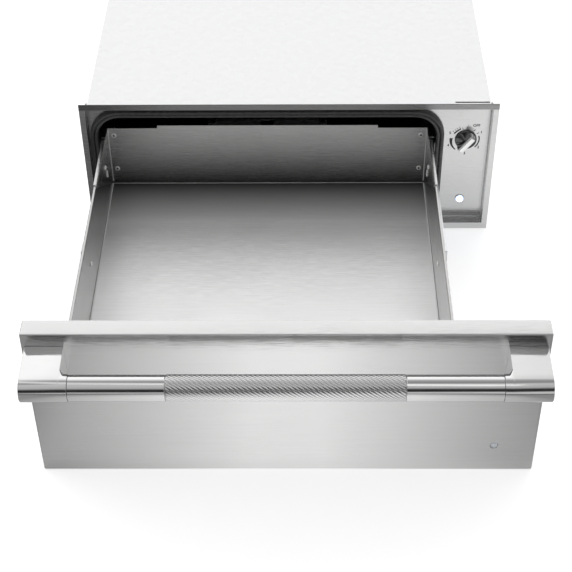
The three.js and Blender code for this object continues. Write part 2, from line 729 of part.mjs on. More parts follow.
function terminalBlock() {
  const x = [256, 309];
  const z = HOUSING_BOTTOM + SHEET + GAP;
  const base = block(x, [1070, 1094], [z, z + 12]);
  const walls = [];
  for (let wall = 0; wall < 4; wall++) {
    const at = x[0] + (wall * (x[1] - x[0] - 3)) / 3;
    walls.push(block([at, at + 3], [1070, 1094], [z, z + 22]));
  }
  return join(base, ...walls);
}

// A round bushing in the rear cover for the supply cord, which the photograph doesn't show.
function cordGland() {
  const cover = [HOUSING_BACK - SHEET - GAP, HOUSING_BACK + GAP];
  return turnedY(GLAND_X, GLAND_Z, [
    [5, cover[0] - 5],
    [14, cover[0] - 5],
    [14, cover[0]],
    [10.6, cover[0]],
    [10.6, cover[1]],
    [15, cover[1]],
    [14, cover[1] + 4],
    [5, cover[1] + 4],
    [5, cover[0] - 5],
  ]);
}

// ---------------------------------------------------------------- heating

// The element runs in from the back, makes three U-turns and runs out again.
function elementPath() {
  const path = new THREE.CurvePath();
  const at = (x, y) => new THREE.Vector3(x, y, ELEMENT_Z);
  const turn = (x0, x1, y, bulge) => {
    const points = [];
    for (let step = 0; step <= 12; step++) {
      const angle = (step / 12) * Math.PI;
      const radius = (x1 - x0) / 2;
      points.push(at(x0 + radius * (1 - Math.cos(angle)), y + bulge * radius * Math.sin(angle)));
    }
    return new THREE.CatmullRomCurve3(points);
  };
  const [a, b, c, d] = ELEMENT_LEGS;
  const front = ELEMENT_FRONT;
  const back = ELEMENT_TURN_BACK;
  path.add(new THREE.LineCurve3(at(a, ELEMENT_END), at(a, front)));
  path.add(turn(a, b, front, -1));
  path.add(new THREE.LineCurve3(at(b, front), at(b, back)));
  path.add(turn(b, c, back, 0.9));
  path.add(new THREE.LineCurve3(at(c, back), at(c, front)));
  path.add(turn(c, d, front, -1));
  path.add(new THREE.LineCurve3(at(d, front), at(d, ELEMENT_END)));
  return path;
}

function heatingElement() {
  const ring = new THREE.Shape();
  ring.absarc(0, 0, ELEMENT_RADIUS, 0, 2 * Math.PI, false);
  const options = { steps: 96, curveSegments: 4, extrudePath: elementPath() };
  return solid(new THREE.ExtrudeGeometry(ring, options));
}

// The strap over the element's inner legs, with a fold down at its back edge and a window.
function elementStrap() {
  const x = (near, far) => [STRAP_MID + near, STRAP_MID + far];
  const front = STRAP_BACK - 25;
  const top = [STRAP_TOP - 1.5, STRAP_TOP];
  const low = [STRAP_TOP - 4.5, STRAP_TOP - 3];
  const bar = block(x(-STRAP_HALF, STRAP_HALF), [front, STRAP_BACK], top);
  const parts = sides.flatMap(([, side]) => {
    const near = side * STRAP_HALF;
    const far = side * (STRAP_HALF + 14);
    const joggle = block(x(near, near - side * 1.5), [front + 6, STRAP_BACK], [low[0], top[1]]);
    const tab = block(x(near - side, far), [front + 6, STRAP_BACK], low);
    const hole = rodZ(STRAP_MID + side * STUD_OFFSET, STUD_Y, 2.9, [low[0] - 1, low[1] + 1]);
    return [cut(join(joggle, tab), hole)];
  });
  const window = block(x(-12, 10.6), [front + 5, STRAP_BACK - 4], [STRAP_TOP - 3, STRAP_TOP + 1]);
  const grooveY = [STRAP_BACK - 9, STRAP_BACK - 7];
  const groove = block(x(-STRAP_HALF + 4, STRAP_HALF - 4), grooveY, [STRAP_TOP - 0.7, STRAP_TOP + 1]);
  return cut(join(bar, ...parts), window, groove);
}

function strapStud(side) {
  const x = STRAP_MID + side * STUD_OFFSET;
  const foot = CAVITY_FLOOR + GAP;
  const seat = STRAP_TOP - 3 + GAP;
  const profile = [
    [0, foot],
    [6, foot],
    [6, foot + 2.5],
    [2.5, foot + 2.5],
    [2.5, seat],
    [5.8, seat],
    [5.8, seat + 1.4],
    [4.2, seat + 3.2],
    [0, seat + 4.2],
  ];
  const points = profile.map(([r, z]) => new THREE.Vector2(r, z));
  const turned = new THREE.LatheGeometry(points, 24).rotateX(Math.PI / 2);
  return solid(turned.translate(x, STUD_Y, 0));
}

function sensorBulb() {
  return rodX(1057, -60, 3, [-165, -75], 16);
}

function sensorClip() {
  const clip = block([-125, -113], [1052, CAVITY_BACK - GAP], [-66, -54]);
  return cut(clip, rodX(1057, -60, 3.3, [-130, -110], 16));
}

function limitThermostat() {
  const back = CAVITY_BACK + THIN + GAP;
  return join(rodY(PAN_MID, -130, 9.5, [back, back + 4]), rodY(PAN_MID, -130, 7, [back + 3, back + 12]));
}

// ---------------------------------------------------------------- assembly

piece("front_skin", frontSkin(), steel);
piece("front_liner", frontLiner(), steel);
piece("front_insulation", frontInsulation(), wool);
piece("window_lens", windowLens(), paleLens);
piece("light_pipe", rodY(LIGHT_X, LIGHT_Z, 4.2, [2.7, PANEL_DEPTH + 0.6]), paleLens);
piece("handle_tube", handleTube(), polished);
piece("handle_grip", handleGrip(), steel);
piece("pan_floor", panFloor(), steel);
piece("pan_back", panBack(), steel);
for (const [name, side] of sides) {
  piece(`handle_bracket_${name}`, handleBracket(side), polished);
  piece(`handle_bolt_${name}`, handleBolt(side * BOLT_X), zinc);
  piece(`pan_side_${name}`, panSide(side), steel);
  piece(`back_screw_upper_${name}`, backScrew(side, BACK_SCREWS_Z[0]), zinc);
  piece(`back_screw_lower_${name}`, backScrew(side, BACK_SCREWS_Z[1]), zinc);
  piece(`flange_screw_${name}`, sideScrew(side, FLANGE_SCREW, PAN_HALF - THIN - 2 * GAP, PAN_HALF + 3), zinc);
  piece(`wall_screw_${name}`, sideScrew(side, WALL_SCREW, PAN_HALF - GAP, PAN_HALF + 4.4), zinc);
  piece(`slide_cabinet_${name}`, cabinetRail(side), zinc);
  piece(`slide_middle_${name}`, middleRail(side), zinc);
  piece(`slide_drawer_${name}`, drawerRail(side), zinc);
  piece(`slide_stop_${name}`, railStop(side), blackPlastic);
  piece(`housing_side_${name}`, housingSide(side), zinc);
  piece(`strap_stud_${name}`, strapStud(side), darkScrew);
}
piece("face_frame", faceFrame(), steel);
piece("drawer_seal", drawerSeal(), silicone);
piece("cavity_liner", cavityLiner(), enamel);
piece("insulation_blanket", insulationBlanket(), wool);
piece("insulation_rear", insulationRear(), wool);
piece("housing_base", housingBase(), zinc);
piece("housing_top", housingTop(), zinc);
piece("rear_cover", rearCover(), zinc);
piece("control_divider", controlDivider(), zinc);
piece("control_knob", controlKnob(), polished);
piece("switch_shaft", switchShaft(), zinc);
piece("heat_switch", heatSwitch(), blackPlastic);
piece("indicator_lens", indicatorLens(), paleLens);
piece("indicator_lamp", indicatorLamp(), blackPlastic);
piece("terminal_block", terminalBlock(), blackPlastic);
piece("cord_gland", cordGland(), blackPlastic);
piece("heating_element", heatingElement(), darkScrew);
piece("element_strap", elementStrap(), zinc);
piece("sensor_bulb", sensorBulb(), polished);
piece("sensor_clip", sensorClip(), zinc);
piece("limit_thermostat", limitThermostat(), blackPlastic);

// The origin: middle of the base's underside.
open.position.set(0, -(HOUSING_FRONT + HOUSING_BACK) / 2, -HOUSING_BOTTOM);

const warmingDrawer = new THREE.Group();
warmingDrawer.add(open);

export default warmingDrawer;
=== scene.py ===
"""The looks of a built-in warming drawer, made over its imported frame.

Sizes in this file are millimetres, counted from the middle of the front panel's top front edge:
X to the user's right, Y into the cabinet, Z up. placed() turns them into the frame's metres.
"""

import math

import bpy
import numpy as np
from bpy.props import FloatProperty, FloatVectorProperty, IntProperty, PointerProperty
from mathutils import Matrix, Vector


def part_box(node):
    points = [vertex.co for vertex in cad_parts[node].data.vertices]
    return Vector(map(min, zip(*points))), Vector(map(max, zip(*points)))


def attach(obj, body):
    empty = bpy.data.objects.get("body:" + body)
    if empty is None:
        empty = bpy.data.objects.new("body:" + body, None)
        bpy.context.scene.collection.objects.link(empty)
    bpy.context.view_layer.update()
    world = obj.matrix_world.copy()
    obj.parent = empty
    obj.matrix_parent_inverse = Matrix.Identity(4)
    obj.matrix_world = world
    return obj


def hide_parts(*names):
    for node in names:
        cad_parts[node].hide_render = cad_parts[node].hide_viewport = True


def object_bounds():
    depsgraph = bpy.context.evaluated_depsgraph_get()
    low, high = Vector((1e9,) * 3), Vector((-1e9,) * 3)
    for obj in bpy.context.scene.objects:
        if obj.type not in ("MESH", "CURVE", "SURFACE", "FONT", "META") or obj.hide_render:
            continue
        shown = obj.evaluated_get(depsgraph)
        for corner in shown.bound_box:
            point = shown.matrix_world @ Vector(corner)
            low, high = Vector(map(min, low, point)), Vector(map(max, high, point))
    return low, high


bl_info = {
    "name": "Warming drawer",
    "version": (1, 0, 0),
    "blender": (4, 5, 0),
    "location": "3D View > Sidebar > Warming drawer",
    "description": "Dresses a built-in warming drawer piece by piece on its fixed frame",
    "category": "Add Mesh",
}

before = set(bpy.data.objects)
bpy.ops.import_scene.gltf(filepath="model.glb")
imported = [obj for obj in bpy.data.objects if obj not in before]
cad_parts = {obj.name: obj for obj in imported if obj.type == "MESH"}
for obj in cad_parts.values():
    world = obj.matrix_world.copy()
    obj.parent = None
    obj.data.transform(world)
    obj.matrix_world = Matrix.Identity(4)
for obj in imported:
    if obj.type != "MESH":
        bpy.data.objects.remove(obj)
CAD_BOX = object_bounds()

# -------- places taken from the frame

SKIN_LOW, SKIN_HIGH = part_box("front_skin")
TOP_EDGE = np.array([0.0, SKIN_LOW.y, SKIN_HIGH.z])


def placed(points):
    """Millimetres from the panel's top front edge as metres in the frame: p / 1000 + top edge."""
    return np.asarray(points, float) * 0.001 + TOP_EDGE


def node_box(node):
    """A node's lowest and highest corner in this file's millimetres: (corner - top edge) * 1000."""
    low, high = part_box(node)
    return (np.array(low) - TOP_EDGE) * 1000, (np.array(high) - TOP_EDGE) * 1000


PANEL_LOW, PANEL_HIGH = node_box("front_skin")
TUBE_LOW, TUBE_HIGH = node_box("handle_tube")
GRIP_HIGH = node_box("handle_grip")[1]
BRACKET_LOW, BRACKET_HIGH = node_box("handle_bracket_right")
SEAL_LOW, SEAL_HIGH = node_box("drawer_seal")
KNOB_LOW, KNOB_HIGH = node_box("control_knob")
LENS_LOW, LENS_HIGH = node_box("indicator_lens")
WINDOW_FRONT = node_box("window_lens")[0][1]

HANDLE_Y, HANDLE_Z = (TUBE_LOW[1:] + TUBE_HIGH[1:]) / 2
KNOB_X, KNOB_Z = (KNOB_LOW[::2] + KNOB_HIGH[::2]) / 2
KNOB_TURN = math.radians(36.6)
LIGHT_X, LIGHT_Z = (LENS_LOW[::2] + LENS_HIGH[::2]) / 2
LIGHT = (LIGHT_X, LIGHT_Z)
PAN_MID, PAN_BACK, PAN_FLOOR = -35.1, 547.0, -177.0
TRAY_TOP = -20.4
SHEET = 1.2
RECESS_Y = 547.4
LETTER_HEIGHT = 6.6
SIDES = (("left", -1), ("right", 1))
PLATING = (0.7, 0.71, 0.72)


# -------- surfaces


def ring_surface(rings, closed_path=False):
    """A surface through rings of points, shape (rings, points round, 3).

    Each quad joins two neighbours of one ring to the same two of the next. Without a closed
    path, each end is closed by triangles that meet in the middle of its ring.
    """
    count, around, _ = rings.shape
    i = np.arange(count if closed_path else count - 1)[:, None]
    j = np.arange(around)[None, :]
    after_i = (i + 1) % count
    after_j = (j + 1) % around
    quads = np.stack(
        [i * around + j, after_i * around + j, after_i * around + after_j, i * around + after_j], -1
    ).reshape(-1, 4)
    points = rings.reshape(-1, 3)
    triangles = np.zeros((0, 3), int)
    if not closed_path:
        points = np.vstack([points, rings[0].mean(0), rings[-1].mean(0)])
        edge = np.arange(around)
        beside = (edge + 1) % around
        first = np.stack([edge, beside, np.full(around, count * around)], -1)
        base = (count - 1) * around
        last = np.stack([base + beside, base + edge, np.full(around, count * around + 1)], -1)
        triangles = np.vstack([first, last])
    return points, quads, triangles


def facing_out(points, quads, triangles):
    """Turns a closed surface the right way round, so that its volume is positive: the sum of
    a . (b x c) / 6 over its triangles."""
    halves = np.vstack([quads[:, [0, 1, 2]], quads[:, [0, 2, 3]], triangles])
    a, b, c = (points[halves[:, k]] for k in range(3))
    if np.einsum("ij,ij->i", a, np.cross(b, c)).sum() < 0:
        return quads[:, ::-1], triangles[:, ::-1]
    return quads, triangles


def put_in_scene(name, data):
    """A new object of the scene that holds a mesh, text, a lamp or a camera."""
    made = bpy.data.objects.new(name, data)
    bpy.context.scene.collection.objects.link(made)
    return made


def make_piece(name, surfaces, finish, body, stands_for=(), crease=30.0, depth=None):
    """One object from closed surfaces, in the frame's metres, riding on a body.

    depth is a number for each point, kept as the attribute that the finish reads.
    """
    corners, faces, start = [], [], 0
    for points, quads, triangles in surfaces:
        quads, triangles = facing_out(points, quads, triangles)
        faces += (quads + start).tolist() + (triangles + start).tolist()
        corners.append(points)
        start += len(points)
    mesh = bpy.data.meshes.new(name)
    mesh.from_pydata(placed(np.vstack(corners)), [], faces)
    mesh.shade_smooth()
    mesh.set_sharp_from_angle(angle=math.radians(crease))
    if depth is not None:
        layer = mesh.attributes.new("depth", "FLOAT", "POINT")
        layer.data.foreach_set("value", np.asarray(depth, np.float32))
    mesh.materials.append(finish)
    mesh.validate()
    piece = put_in_scene(name, mesh)
    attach(piece, body)
    if stands_for:
        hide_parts(*stands_for)


def full_turn(count):
    """Angles of count even steps round a full turn."""
    return np.linspace(0, 2 * math.pi, count, endpoint=False)


def rounded_rectangle(low, high, radius, along, corner):
    """Points round a rectangle whose corners are quarter circles, shape (points, 2).

    Each corner is its centre plus radius * (cos a, sin a); each side is a straight line between
    two corners, cut into equal steps. along counts the points on level and on upright sides, and
    corner those of each quarter circle.
    """
    (a0, b0), (a1, b1) = low, high
    centres = np.array([[a1, b0], [a1, b1], [a0, b1], [a0, b0]], float)
    inward = np.array([[-1, 1], [-1, -1], [1, -1], [1, 1]]) * radius
    centres = centres + inward
    starts = np.radians([-90, 0, 90, 180])
    turn = np.linspace(0, math.pi / 2, corner)
    angle = starts[:, None] + turn[None, :]
    arcs = centres[:, None, :] + radius * np.stack([np.cos(angle), np.sin(angle)], -1)
    parts = []
    for k in range(4):
        parts.append(arcs[k])
        steps = along[1] if k % 2 == 0 else along[0]
        t = np.linspace(0, 1, steps + 2)[1:-1, None]
        parts.append(arcs[k][-1] * (1 - t) + arcs[(k + 1) % 4][0] * t)
    return np.vstack(parts)


def standing(shape, y):
    """A flat outline of (x, z) points, stood up at a depth y."""
    return np.column_stack([shape[:, 0], np.full(len(shape), y), shape[:, 1]])


def turned(profile, centre, axis, around=48, closed=False):
    """A turned piece. The profile lists (radius, place along the axis); each becomes the circle
    centre + radius * (cos a, sin a) across the axis. A closed profile makes a ring."""
    profile = np.asarray(profile, float)
    angle = full_turn(around)
    across = [k for k in range(3) if k != axis]
    rings = np.zeros((len(profile), around, 3))
    rings[..., across[0]] = centre[0] + profile[:, :1] * np.cos(angle)
    rings[..., across[1]] = centre[1] + profile[:, :1] * np.sin(angle)
    rings[..., axis] = profile[:, 1:2]
    return ring_surface(rings.transpose(1, 0, 2) if closed else rings, closed)


def rod(start, end, radius, around=12):
    """A thin round rod from one point to another: start + t * (end - start) + radius * (cos a, sin a)
    on two directions at right angles to it. No rod runs along aside, so the cross product holds."""
    start, end = np.asarray(start, float), np.asarray(end, float)
    ahead = (end - start) / np.linalg.norm(end - start)
    aside = (0.3, 0.2, 1.0)
    side = np.cross(ahead, aside)
    side /= np.linalg.norm(side)
    up = np.cross(side, ahead)
    angle = full_turn(around)[:, None]
    circle = radius * (np.cos(angle) * side + np.sin(angle) * up)
    return ring_surface(np.array([start + circle, start + (end - start) * 0.5 + circle, end + circle]))


def soft_profile(corners, radius, steps=6):
    """A profile with its inner corners rounded: each corner becomes the curve
    (1-t)^2 before + 2t(1-t) corner + t^2 after, between points radius away from it."""
    corners = np.asarray(corners, float)
    middle, before, after = corners[1:-1], corners[:-2], corners[2:]
    back, ahead = before - middle, after - middle
    back_length = np.linalg.norm(back, axis=1, keepdims=True)
    ahead_length = np.linalg.norm(ahead, axis=1, keepdims=True)
    start = middle + back / back_length * np.minimum(radius, back_length * 0.45)
    end = middle + ahead / ahead_length * np.minimum(radius, ahead_length * 0.45)
    t = np.linspace(0, 1, steps)[None, :, None]
    curve = (1 - t) ** 2 * start[:, None] + 2 * t * (1 - t) * middle[:, None] + t**2 * end[:, None]
    return np.vstack([corners[:1], curve.reshape(-1, 2), corners[-1:]])


# -------- finishes


def add(tree, kind, settings=None, **inputs):
    """Adds a shader node. An input takes a plain value or another node's output."""
    made = tree.nodes.new(kind)
    for key, value in (settings or {}).items():
        setattr(made, key, value)
    for key, value in inputs.items():
        socket = made.inputs[int(key[1:])] if key[1:].isdigit() else made.inputs[key.replace("_", " ")]
        if isinstance(value, bpy.types.NodeSocket):
            tree.links.new(value, socket)
        else:
            socket.default_value = value
    return made


def calculate(tree, operation, *values, kind="Math", **named):
    """One step of arithmetic on plain values or other nodes' outputs. VectorMath takes vectors."""
    numbered = {f"_{k}": value for k, value in enumerate(values)}
    return add(tree, f"ShaderNode{kind}", {"operation": operation}, **numbered, **named).outputs[0]


def new_finish(name, color, roughness, metallic=0.0, **uniform):
    """A material with its uniform numbers on the shader's own sockets."""
    finish = bpy.data.materials.new(name)
    finish.use_nodes = True
    finish.diffuse_color = (*color, 1)
    shader = finish.node_tree.nodes["Principled BSDF"]
    shader.inputs["Base Color"].default_value = (*color, 1)
    shader.inputs["Roughness"].default_value = roughness
    shader.inputs["Metallic"].default_value = metallic
    for key, value in uniform.items():
        shader.inputs[key.replace("_", " ")].default_value = value
    return finish, finish.node_tree, shader


def noise_at(tree, scale, detail=2.0, rough=0.5):
    """Noise over Object coordinates. scale counts cells per metre, on each axis or on all."""
    place = add(tree, "ShaderNodeTexCoord").outputs["Object"]
    cells = scale if isinstance(scale, tuple) else (scale,) * 3
    spread = add(tree, "ShaderNodeMapping", Vector=place, Scale=cells).outputs["Vector"]
    made = add(tree, "ShaderNodeTexNoise", Vector=spread, Scale=1.0, Detail=detail, Roughness=rough)
    return made.outputs["Fac"]


def ranged(tree, value, low, high, start=0.3, end=0.7):
    """Stretches a value from start..end to low..high."""
    limits = {"From_Min": start, "From_Max": end, "To_Min": low, "To_Max": high}
    made = add(tree, "ShaderNodeMapRange", Value=value, **limits)
    return made.outputs["Result"]


def shade(tree, shader, color, factor):
    """Base colour times a factor that varies over the surface."""
    gray = add(tree, "ShaderNodeCombineColor", Red=factor, Green=factor, Blue=factor).outputs["Color"]
    multiply = {"data_type": "RGBA", "blend_type": "MULTIPLY"}
    mix = add(tree, "ShaderNodeMix", multiply, _0=1.0, _6=(*color, 1), _7=gray)
    tree.links.new(mix.outputs[2], shader.inputs["Base Color"])


def roughen(tree, shader, value, low, high, start=0.3, end=0.7):
    """Roughness that varies over the surface from low to high."""
    tree.links.new(ranged(tree, value, low, high, start, end), shader.inputs["Roughness"])


def bump(tree, shader, height, strength, distance):
    """Raises the surface by height, distance metres at most."""
    made = add(tree, "ShaderNodeBump", Height=height, Strength=strength, Distance=distance)
    tree.links.new(made.outputs["Normal"], shader.inputs["Normal"])


def along_axis(axis, long, short):
    """Cells per metre: few along one axis, many across it."""
    return tuple(long if k == axis else short for k in range(3))


def brushed_steel(name, color, axis, roughness, tip, contrast=0.1, metallic=1.0, painted_shade=None):
    """Steel with a grain along one axis.

    Fine lines shade the colour and the roughness, and tip the surface across the grain:
    normal + (noise - 1/2) * tip * (normal x grain), made one unit long. The last argument lists
    an axis, two places along it in metres and the factors there: painted shade that darkens a zone.
    """
    finish, tree, shader = new_finish(name, color, roughness, metallic)
    fine = noise_at(tree, along_axis(axis, 45, 5200), 3.0, 0.6)
    broad = noise_at(tree, along_axis(axis, 9, 620), 2.0, 0.6)
    stain = noise_at(tree, 17)
    lines = calculate(tree, "ADD", fine, broad)
    tone = ranged(tree, lines, 1 - contrast, 1 + contrast * 0.6, 0.75, 1.25)
    # painted shade: the tone is multiplied by a factor that changes along one axis
    if painted_shade is not None:
        along, start, end, at_start, at_end = painted_shade
        place = add(tree, "ShaderNodeTexCoord").outputs["Object"]
        place = add(tree, "ShaderNodeSeparateXYZ", Vector=place).outputs[along]
        tone = calculate(tree, "MULTIPLY", tone, ranged(tree, place, at_start, at_end, start, end))
    shade(tree, shader, color, tone)
    smudge = ranged(tree, stain, -0.02, 0.03)
    line_rough = ranged(tree, lines, roughness - 0.05, roughness + 0.06, 0.75, 1.25)
    total = add(tree, "ShaderNodeMath", {"operation": "ADD", "use_clamp": True}, _0=line_rough, _1=smudge)
    tree.links.new(total.outputs[0], shader.inputs["Roughness"])
    grain = tuple(1.0 if k == axis else 0.0 for k in range(3))
    normal = add(tree, "ShaderNodeNewGeometry").outputs["Normal"]
    across = calculate(tree, "CROSS_PRODUCT", normal, grain, kind="VectorMath")
    lean = ranged(tree, fine, -tip / 2, tip / 2, 0.2, 0.8)
    tilt = calculate(tree, "SCALE", across, kind="VectorMath", Scale=lean)
    leaned = calculate(tree, "ADD", normal, tilt, kind="VectorMath")
    unit = calculate(tree, "NORMALIZE", leaned, kind="VectorMath")
    tree.links.new(unit, shader.inputs["Normal"])
    return finish


def polished_steel(name, color, roughness):
    """Polished metal with faint wiping marks in its roughness."""
    finish, tree, shader = new_finish(name, color, roughness, 1.0)
    marks = noise_at(tree, (60, 220, 220), 4.0, 0.65)
    cloud = noise_at(tree, 14)
    shade(tree, shader, color, ranged(tree, cloud, 0.96, 1.02))
    roughen(tree, shader, marks, roughness * 0.6, roughness * 1.7)
    bump(tree, shader, noise_at(tree, (500, 2500, 2500)), 0.05, 0.00002)
    return finish


def knurled_steel(name, color, roughness):
    """Satin steel, rougher down in the grooves and darker there with painted shade.
    The piece's depth attribute is 0 there.
    """
    finish, tree, shader = new_finish(name, color, roughness, 1.0)
    depth = add(tree, "ShaderNodeAttribute", {"attribute_name": "depth"}).outputs["Fac"]
    speck = noise_at(tree, 900, 3.0, 0.6)
    # painted shade in the grooves, with fine random specks
    groove_shade_and_specks = calculate(tree, "MULTIPLY_ADD", speck, 0.25, depth)
    shade(tree, shader, color, ranged(tree, groove_shade_and_specks, 0.5, 1.04, 0.1, 0.8))
    roughen(tree, shader, groove_shade_and_specks, roughness + 0.16, roughness, 0.1, 0.9)
    bump(tree, shader, speck, 0.12, 0.00005)
    return finish


def cross_head(name, color, roughness):
    """Bright plating with painted shade, nearly black, down in the screw's recess, where the piece's depth
    attribute is 0.
    """
    finish, tree, shader = new_finish(name, color, roughness, 0.35)
    depth = add(tree, "ShaderNodeAttribute", {"attribute_name": "depth"}).outputs["Fac"]
    # painted shade: the colour falls to 0.03 at the bottom of the recess
    shade(tree, shader, color, ranged(tree, depth, 0.03, 1.0, 0.1, 0.7))
    speck = noise_at(tree, 900, 3.0, 0.6)
    roughen(tree, shader, speck, roughness - 0.05, roughness + 0.1)
    bump(tree, shader, speck, 0.1, 0.00004)
    return finish


def zinc_coat(name, color, roughness, metallic):
    """Pale zinc coating: flat crystals of slightly different brightness, over fine grit."""
    finish, tree, shader = new_finish(name, color, roughness, metallic)
    place = add(tree, "ShaderNodeTexCoord").outputs["Object"]
    cells = add(tree, "ShaderNodeTexVoronoi", {"feature": "F1"}, Vector=place, Scale=95.0)
    tone = add(tree, "ShaderNodeSeparateColor", Color=cells.outputs["Color"]).outputs["Red"]
    shade(tree, shader, color, ranged(tree, tone, 0.955, 1.02, 0.0, 1.0))
    roughen(tree, shader, tone, roughness - 0.06, roughness + 0.08, 0.0, 1.0)
    bump(tree, shader, noise_at(tree, 1400, 3.0), 0.06, 0.00005)
    return finish


def plated_steel(name, color, roughness):
    """Bright plating with fine draw lines along the piece."""
    finish, tree, shader = new_finish(name, color, roughness, 1.0)
    lines = noise_at(tree, (1500, 25, 1500), 3.0, 0.6)
    shade(tree, shader, color, ranged(tree, lines, 0.9, 1.03))
    roughen(tree, shader, lines, roughness - 0.06, roughness + 0.1)
    bump(tree, shader, lines, 0.08, 0.00004)
    return finish


def enamel(name, color, roughness):
    """Fired enamel: a wavy gloss with sparse pale specks."""
    finish, tree, shader = new_finish(name, color, roughness, 0.0, Coat_Weight=0.3, Coat_Roughness=0.12)
    speck = noise_at(tree, 2600, 1.0)
    shade(tree, shader, color, ranged(tree, speck, 0.8, 3.0, 0.55, 0.8))
    roughen(tree, shader, noise_at(tree, 40), roughness - 0.05, roughness + 0.1)
    bump(tree, shader, noise_at(tree, 320), 0.15, 0.0002)
    return finish


def rubber(name, color, roughness):
    """Moulded rubber with a dusty, finely pitted skin."""
    finish, tree, shader = new_finish(name, color, roughness)
    dust = noise_at(tree, 160, 3.0, 0.6)
    shade(tree, shader, color, ranged(tree, dust, 0.75, 1.35))
    roughen(tree, shader, dust, roughness - 0.06, roughness + 0.12)
    bump(tree, shader, noise_at(tree, 3200), 0.18, 0.00008)
    return finish


def moulded_plastic(name, color, roughness):
    """Matt plastic with a fine spark-eroded grain."""
    finish, tree, shader = new_finish(name, color, roughness)
    grain = noise_at(tree, 2200)
    shade(tree, shader, color, ranged(tree, noise_at(tree, 90), 0.85, 1.15))
    roughen(tree, shader, grain, roughness - 0.05, roughness + 0.08)
    bump(tree, shader, grain, 0.2, 0.0001)
    return finish


def mineral_wool(name, color):
    """Loose wool: fibres tangled in two directions that raise and shade the surface."""
    finish, tree, shader = new_finish(name, color, 0.95, Sheen_Weight=0.2, Sheen_Roughness=0.6)
    first = noise_at(tree, (180, 2400, 1300), 4.0, 0.7)
    second = noise_at(tree, (2300, 160, 900), 4.0, 0.7)
    fibres = calculate(tree, "MAXIMUM", first, second)
    shade(tree, shader, color, ranged(tree, fibres, 0.7, 1.12))
    bump(tree, shader, fibres, 0.6, 0.0012)
    return finish


def glowing_lens(name, color, glow, strength, centre, radius):
    """Milky plastic lit from behind: the glow falls off from the middle of the lens to its rim."""
    finish, tree, shader = new_finish(name, color, 0.18, Emission_Color=(*glow, 1))
    place = add(tree, "ShaderNodeTexCoord").outputs["Object"]
    gap = add(tree, "ShaderNodeVectorMath", {"operation": "DISTANCE"}, _0=place, _1=tuple(centre))
    far = gap.outputs["Value"]
    fall = ranged(tree, far, strength, strength * 0.03, radius * 0.0005, radius * 0.001)
    tree.links.new(fall, shader.inputs["Emission Strength"])
    shade(tree, shader, color, ranged(tree, noise_at(tree, 500), 0.94, 1.03))
    return finish


def printed_ink(name, color):
    """Dark print of slightly uneven density."""
    finish, tree, shader = new_finish(name, color, 0.5)
    shade(tree, shader, color, ranged(tree, noise_at(tree, 700, 3.0), 0.8, 1.3))
    bump(tree, shader, noise_at(tree, 3000), 0.1, 0.00003)
    return finish


def dress(node, finish, edge, segments=2):
    """Gives a node of the frame its finish, and takes the sharpness off its folded edges."""
    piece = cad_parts[node]
    piece.data.materials.clear()
    piece.data.materials.append(finish)
    weld = piece.modifiers.new("joined corners", "WELD")
    weld.merge_threshold = 0.00001
    if edge:
        bevel = piece.modifiers.new("eased edges", "BEVEL")
        bevel.width = edge * 0.001
        bevel.segments = segments
        bevel.limit_method = "ANGLE"
        bevel.angle_limit = math.radians(35)
        bevel.use_clamp_overlap = True


# -------- drawer front


def front_skin_surface(bend, window_radius):
    """The folded front: a sheet that follows one outline.

    Rings run from the window's edge out over the face, round the bend (a quarter circle of
    the bend radius), back along the sides, round the cut edge and inside again to the window.
    The rings on the flat face are rim + (face - rim) * t, from the window's rim to the bend.
    """
    back = PANEL_HIGH[1]
    window = np.array(LIGHT)

    def outline(inset, corner):
        return rounded_rectangle(PANEL_LOW[::2] + inset, PANEL_HIGH[::2] - inset, corner, (60, 24), 7)

    def hole(radius):
        aim = outline(bend, 0.2) - window
        return window + aim / np.linalg.norm(aim, axis=1, keepdims=True) * radius

    edge, rim = hole(window_radius), hole(window_radius + 0.3)
    face, inner = outline(bend, 0.2), outline(bend, 0.3)
    rings = [standing(edge, SHEET), standing(edge, 0.3), standing(rim, 0.0)]
    for t in (0.04, 0.15, 0.4, 0.7, 0.94):
        rings.append(standing(rim + (face - rim) * t, 0.0))
    for angle in np.radians(np.linspace(0, 90, 7)):
        inset = bend * (1 - math.sin(angle))
        rings.append(standing(outline(inset, 0.2 + bend - inset), bend * (1 - math.cos(angle))))
    rings.append(standing(outline(0, bend), back - 0.25))
    rings.append(standing(outline(0.25, bend), back))
    rings.append(standing(outline(SHEET - 0.2, 0.9), back))
    rings.append(standing(outline(SHEET, 0.8), back - 0.25))
    rings.append(standing(outline(SHEET, 0.8), bend + 0.2))
    rings.append(standing(inner, SHEET))
    for t in (0.6, 0.2):
        rings.append(standing(edge + (inner - edge) * t, SHEET))
    return ring_surface(np.array(rings), closed_path=True)


# -------- handle


def bar_section(radius, back, corner, taper, front=28, line=6, turn=8):
    """A round nose in front of the tube's axis, lines that spread backwards, two rounded corners.

    Returned as (Y, Z) points: axis + radius * (-sin a, cos a) for a from taper to half a turn less
    taper, then axis -+ (radius / cos taper + distance * tan taper), and quarter circles of the
    corner radius behind.
    """
    angle = np.linspace(taper, math.pi - taper, front)
    nose = np.column_stack([HANDLE_Y - radius * np.sin(angle), HANDLE_Z + radius * np.cos(angle)])
    start, reach = HANDLE_Y - radius * math.sin(taper), back - corner

    def half_height(y):
        return radius / math.cos(taper) + (y - HANDLE_Y) * math.tan(taper)

    y = start + (reach - start) * np.linspace(0, 1, line + 2)[1:-1]
    low = np.column_stack([y, HANDLE_Z - half_height(y)])
    sweep = np.linspace(0, math.pi / 2, turn)
    y = reach + corner * np.sin(sweep)
    low_corner = np.column_stack([y, HANDLE_Z - half_height(y) + corner * (1 - np.cos(sweep))])
    high_corner = low_corner[::-1] * [1, -1] + [0, 2 * HANDLE_Z]
    high = low[::-1] * [1, -1] + [0, 2 * HANDLE_Z]
    return np.vstack([nose, low, low_corner, high_corner, high])


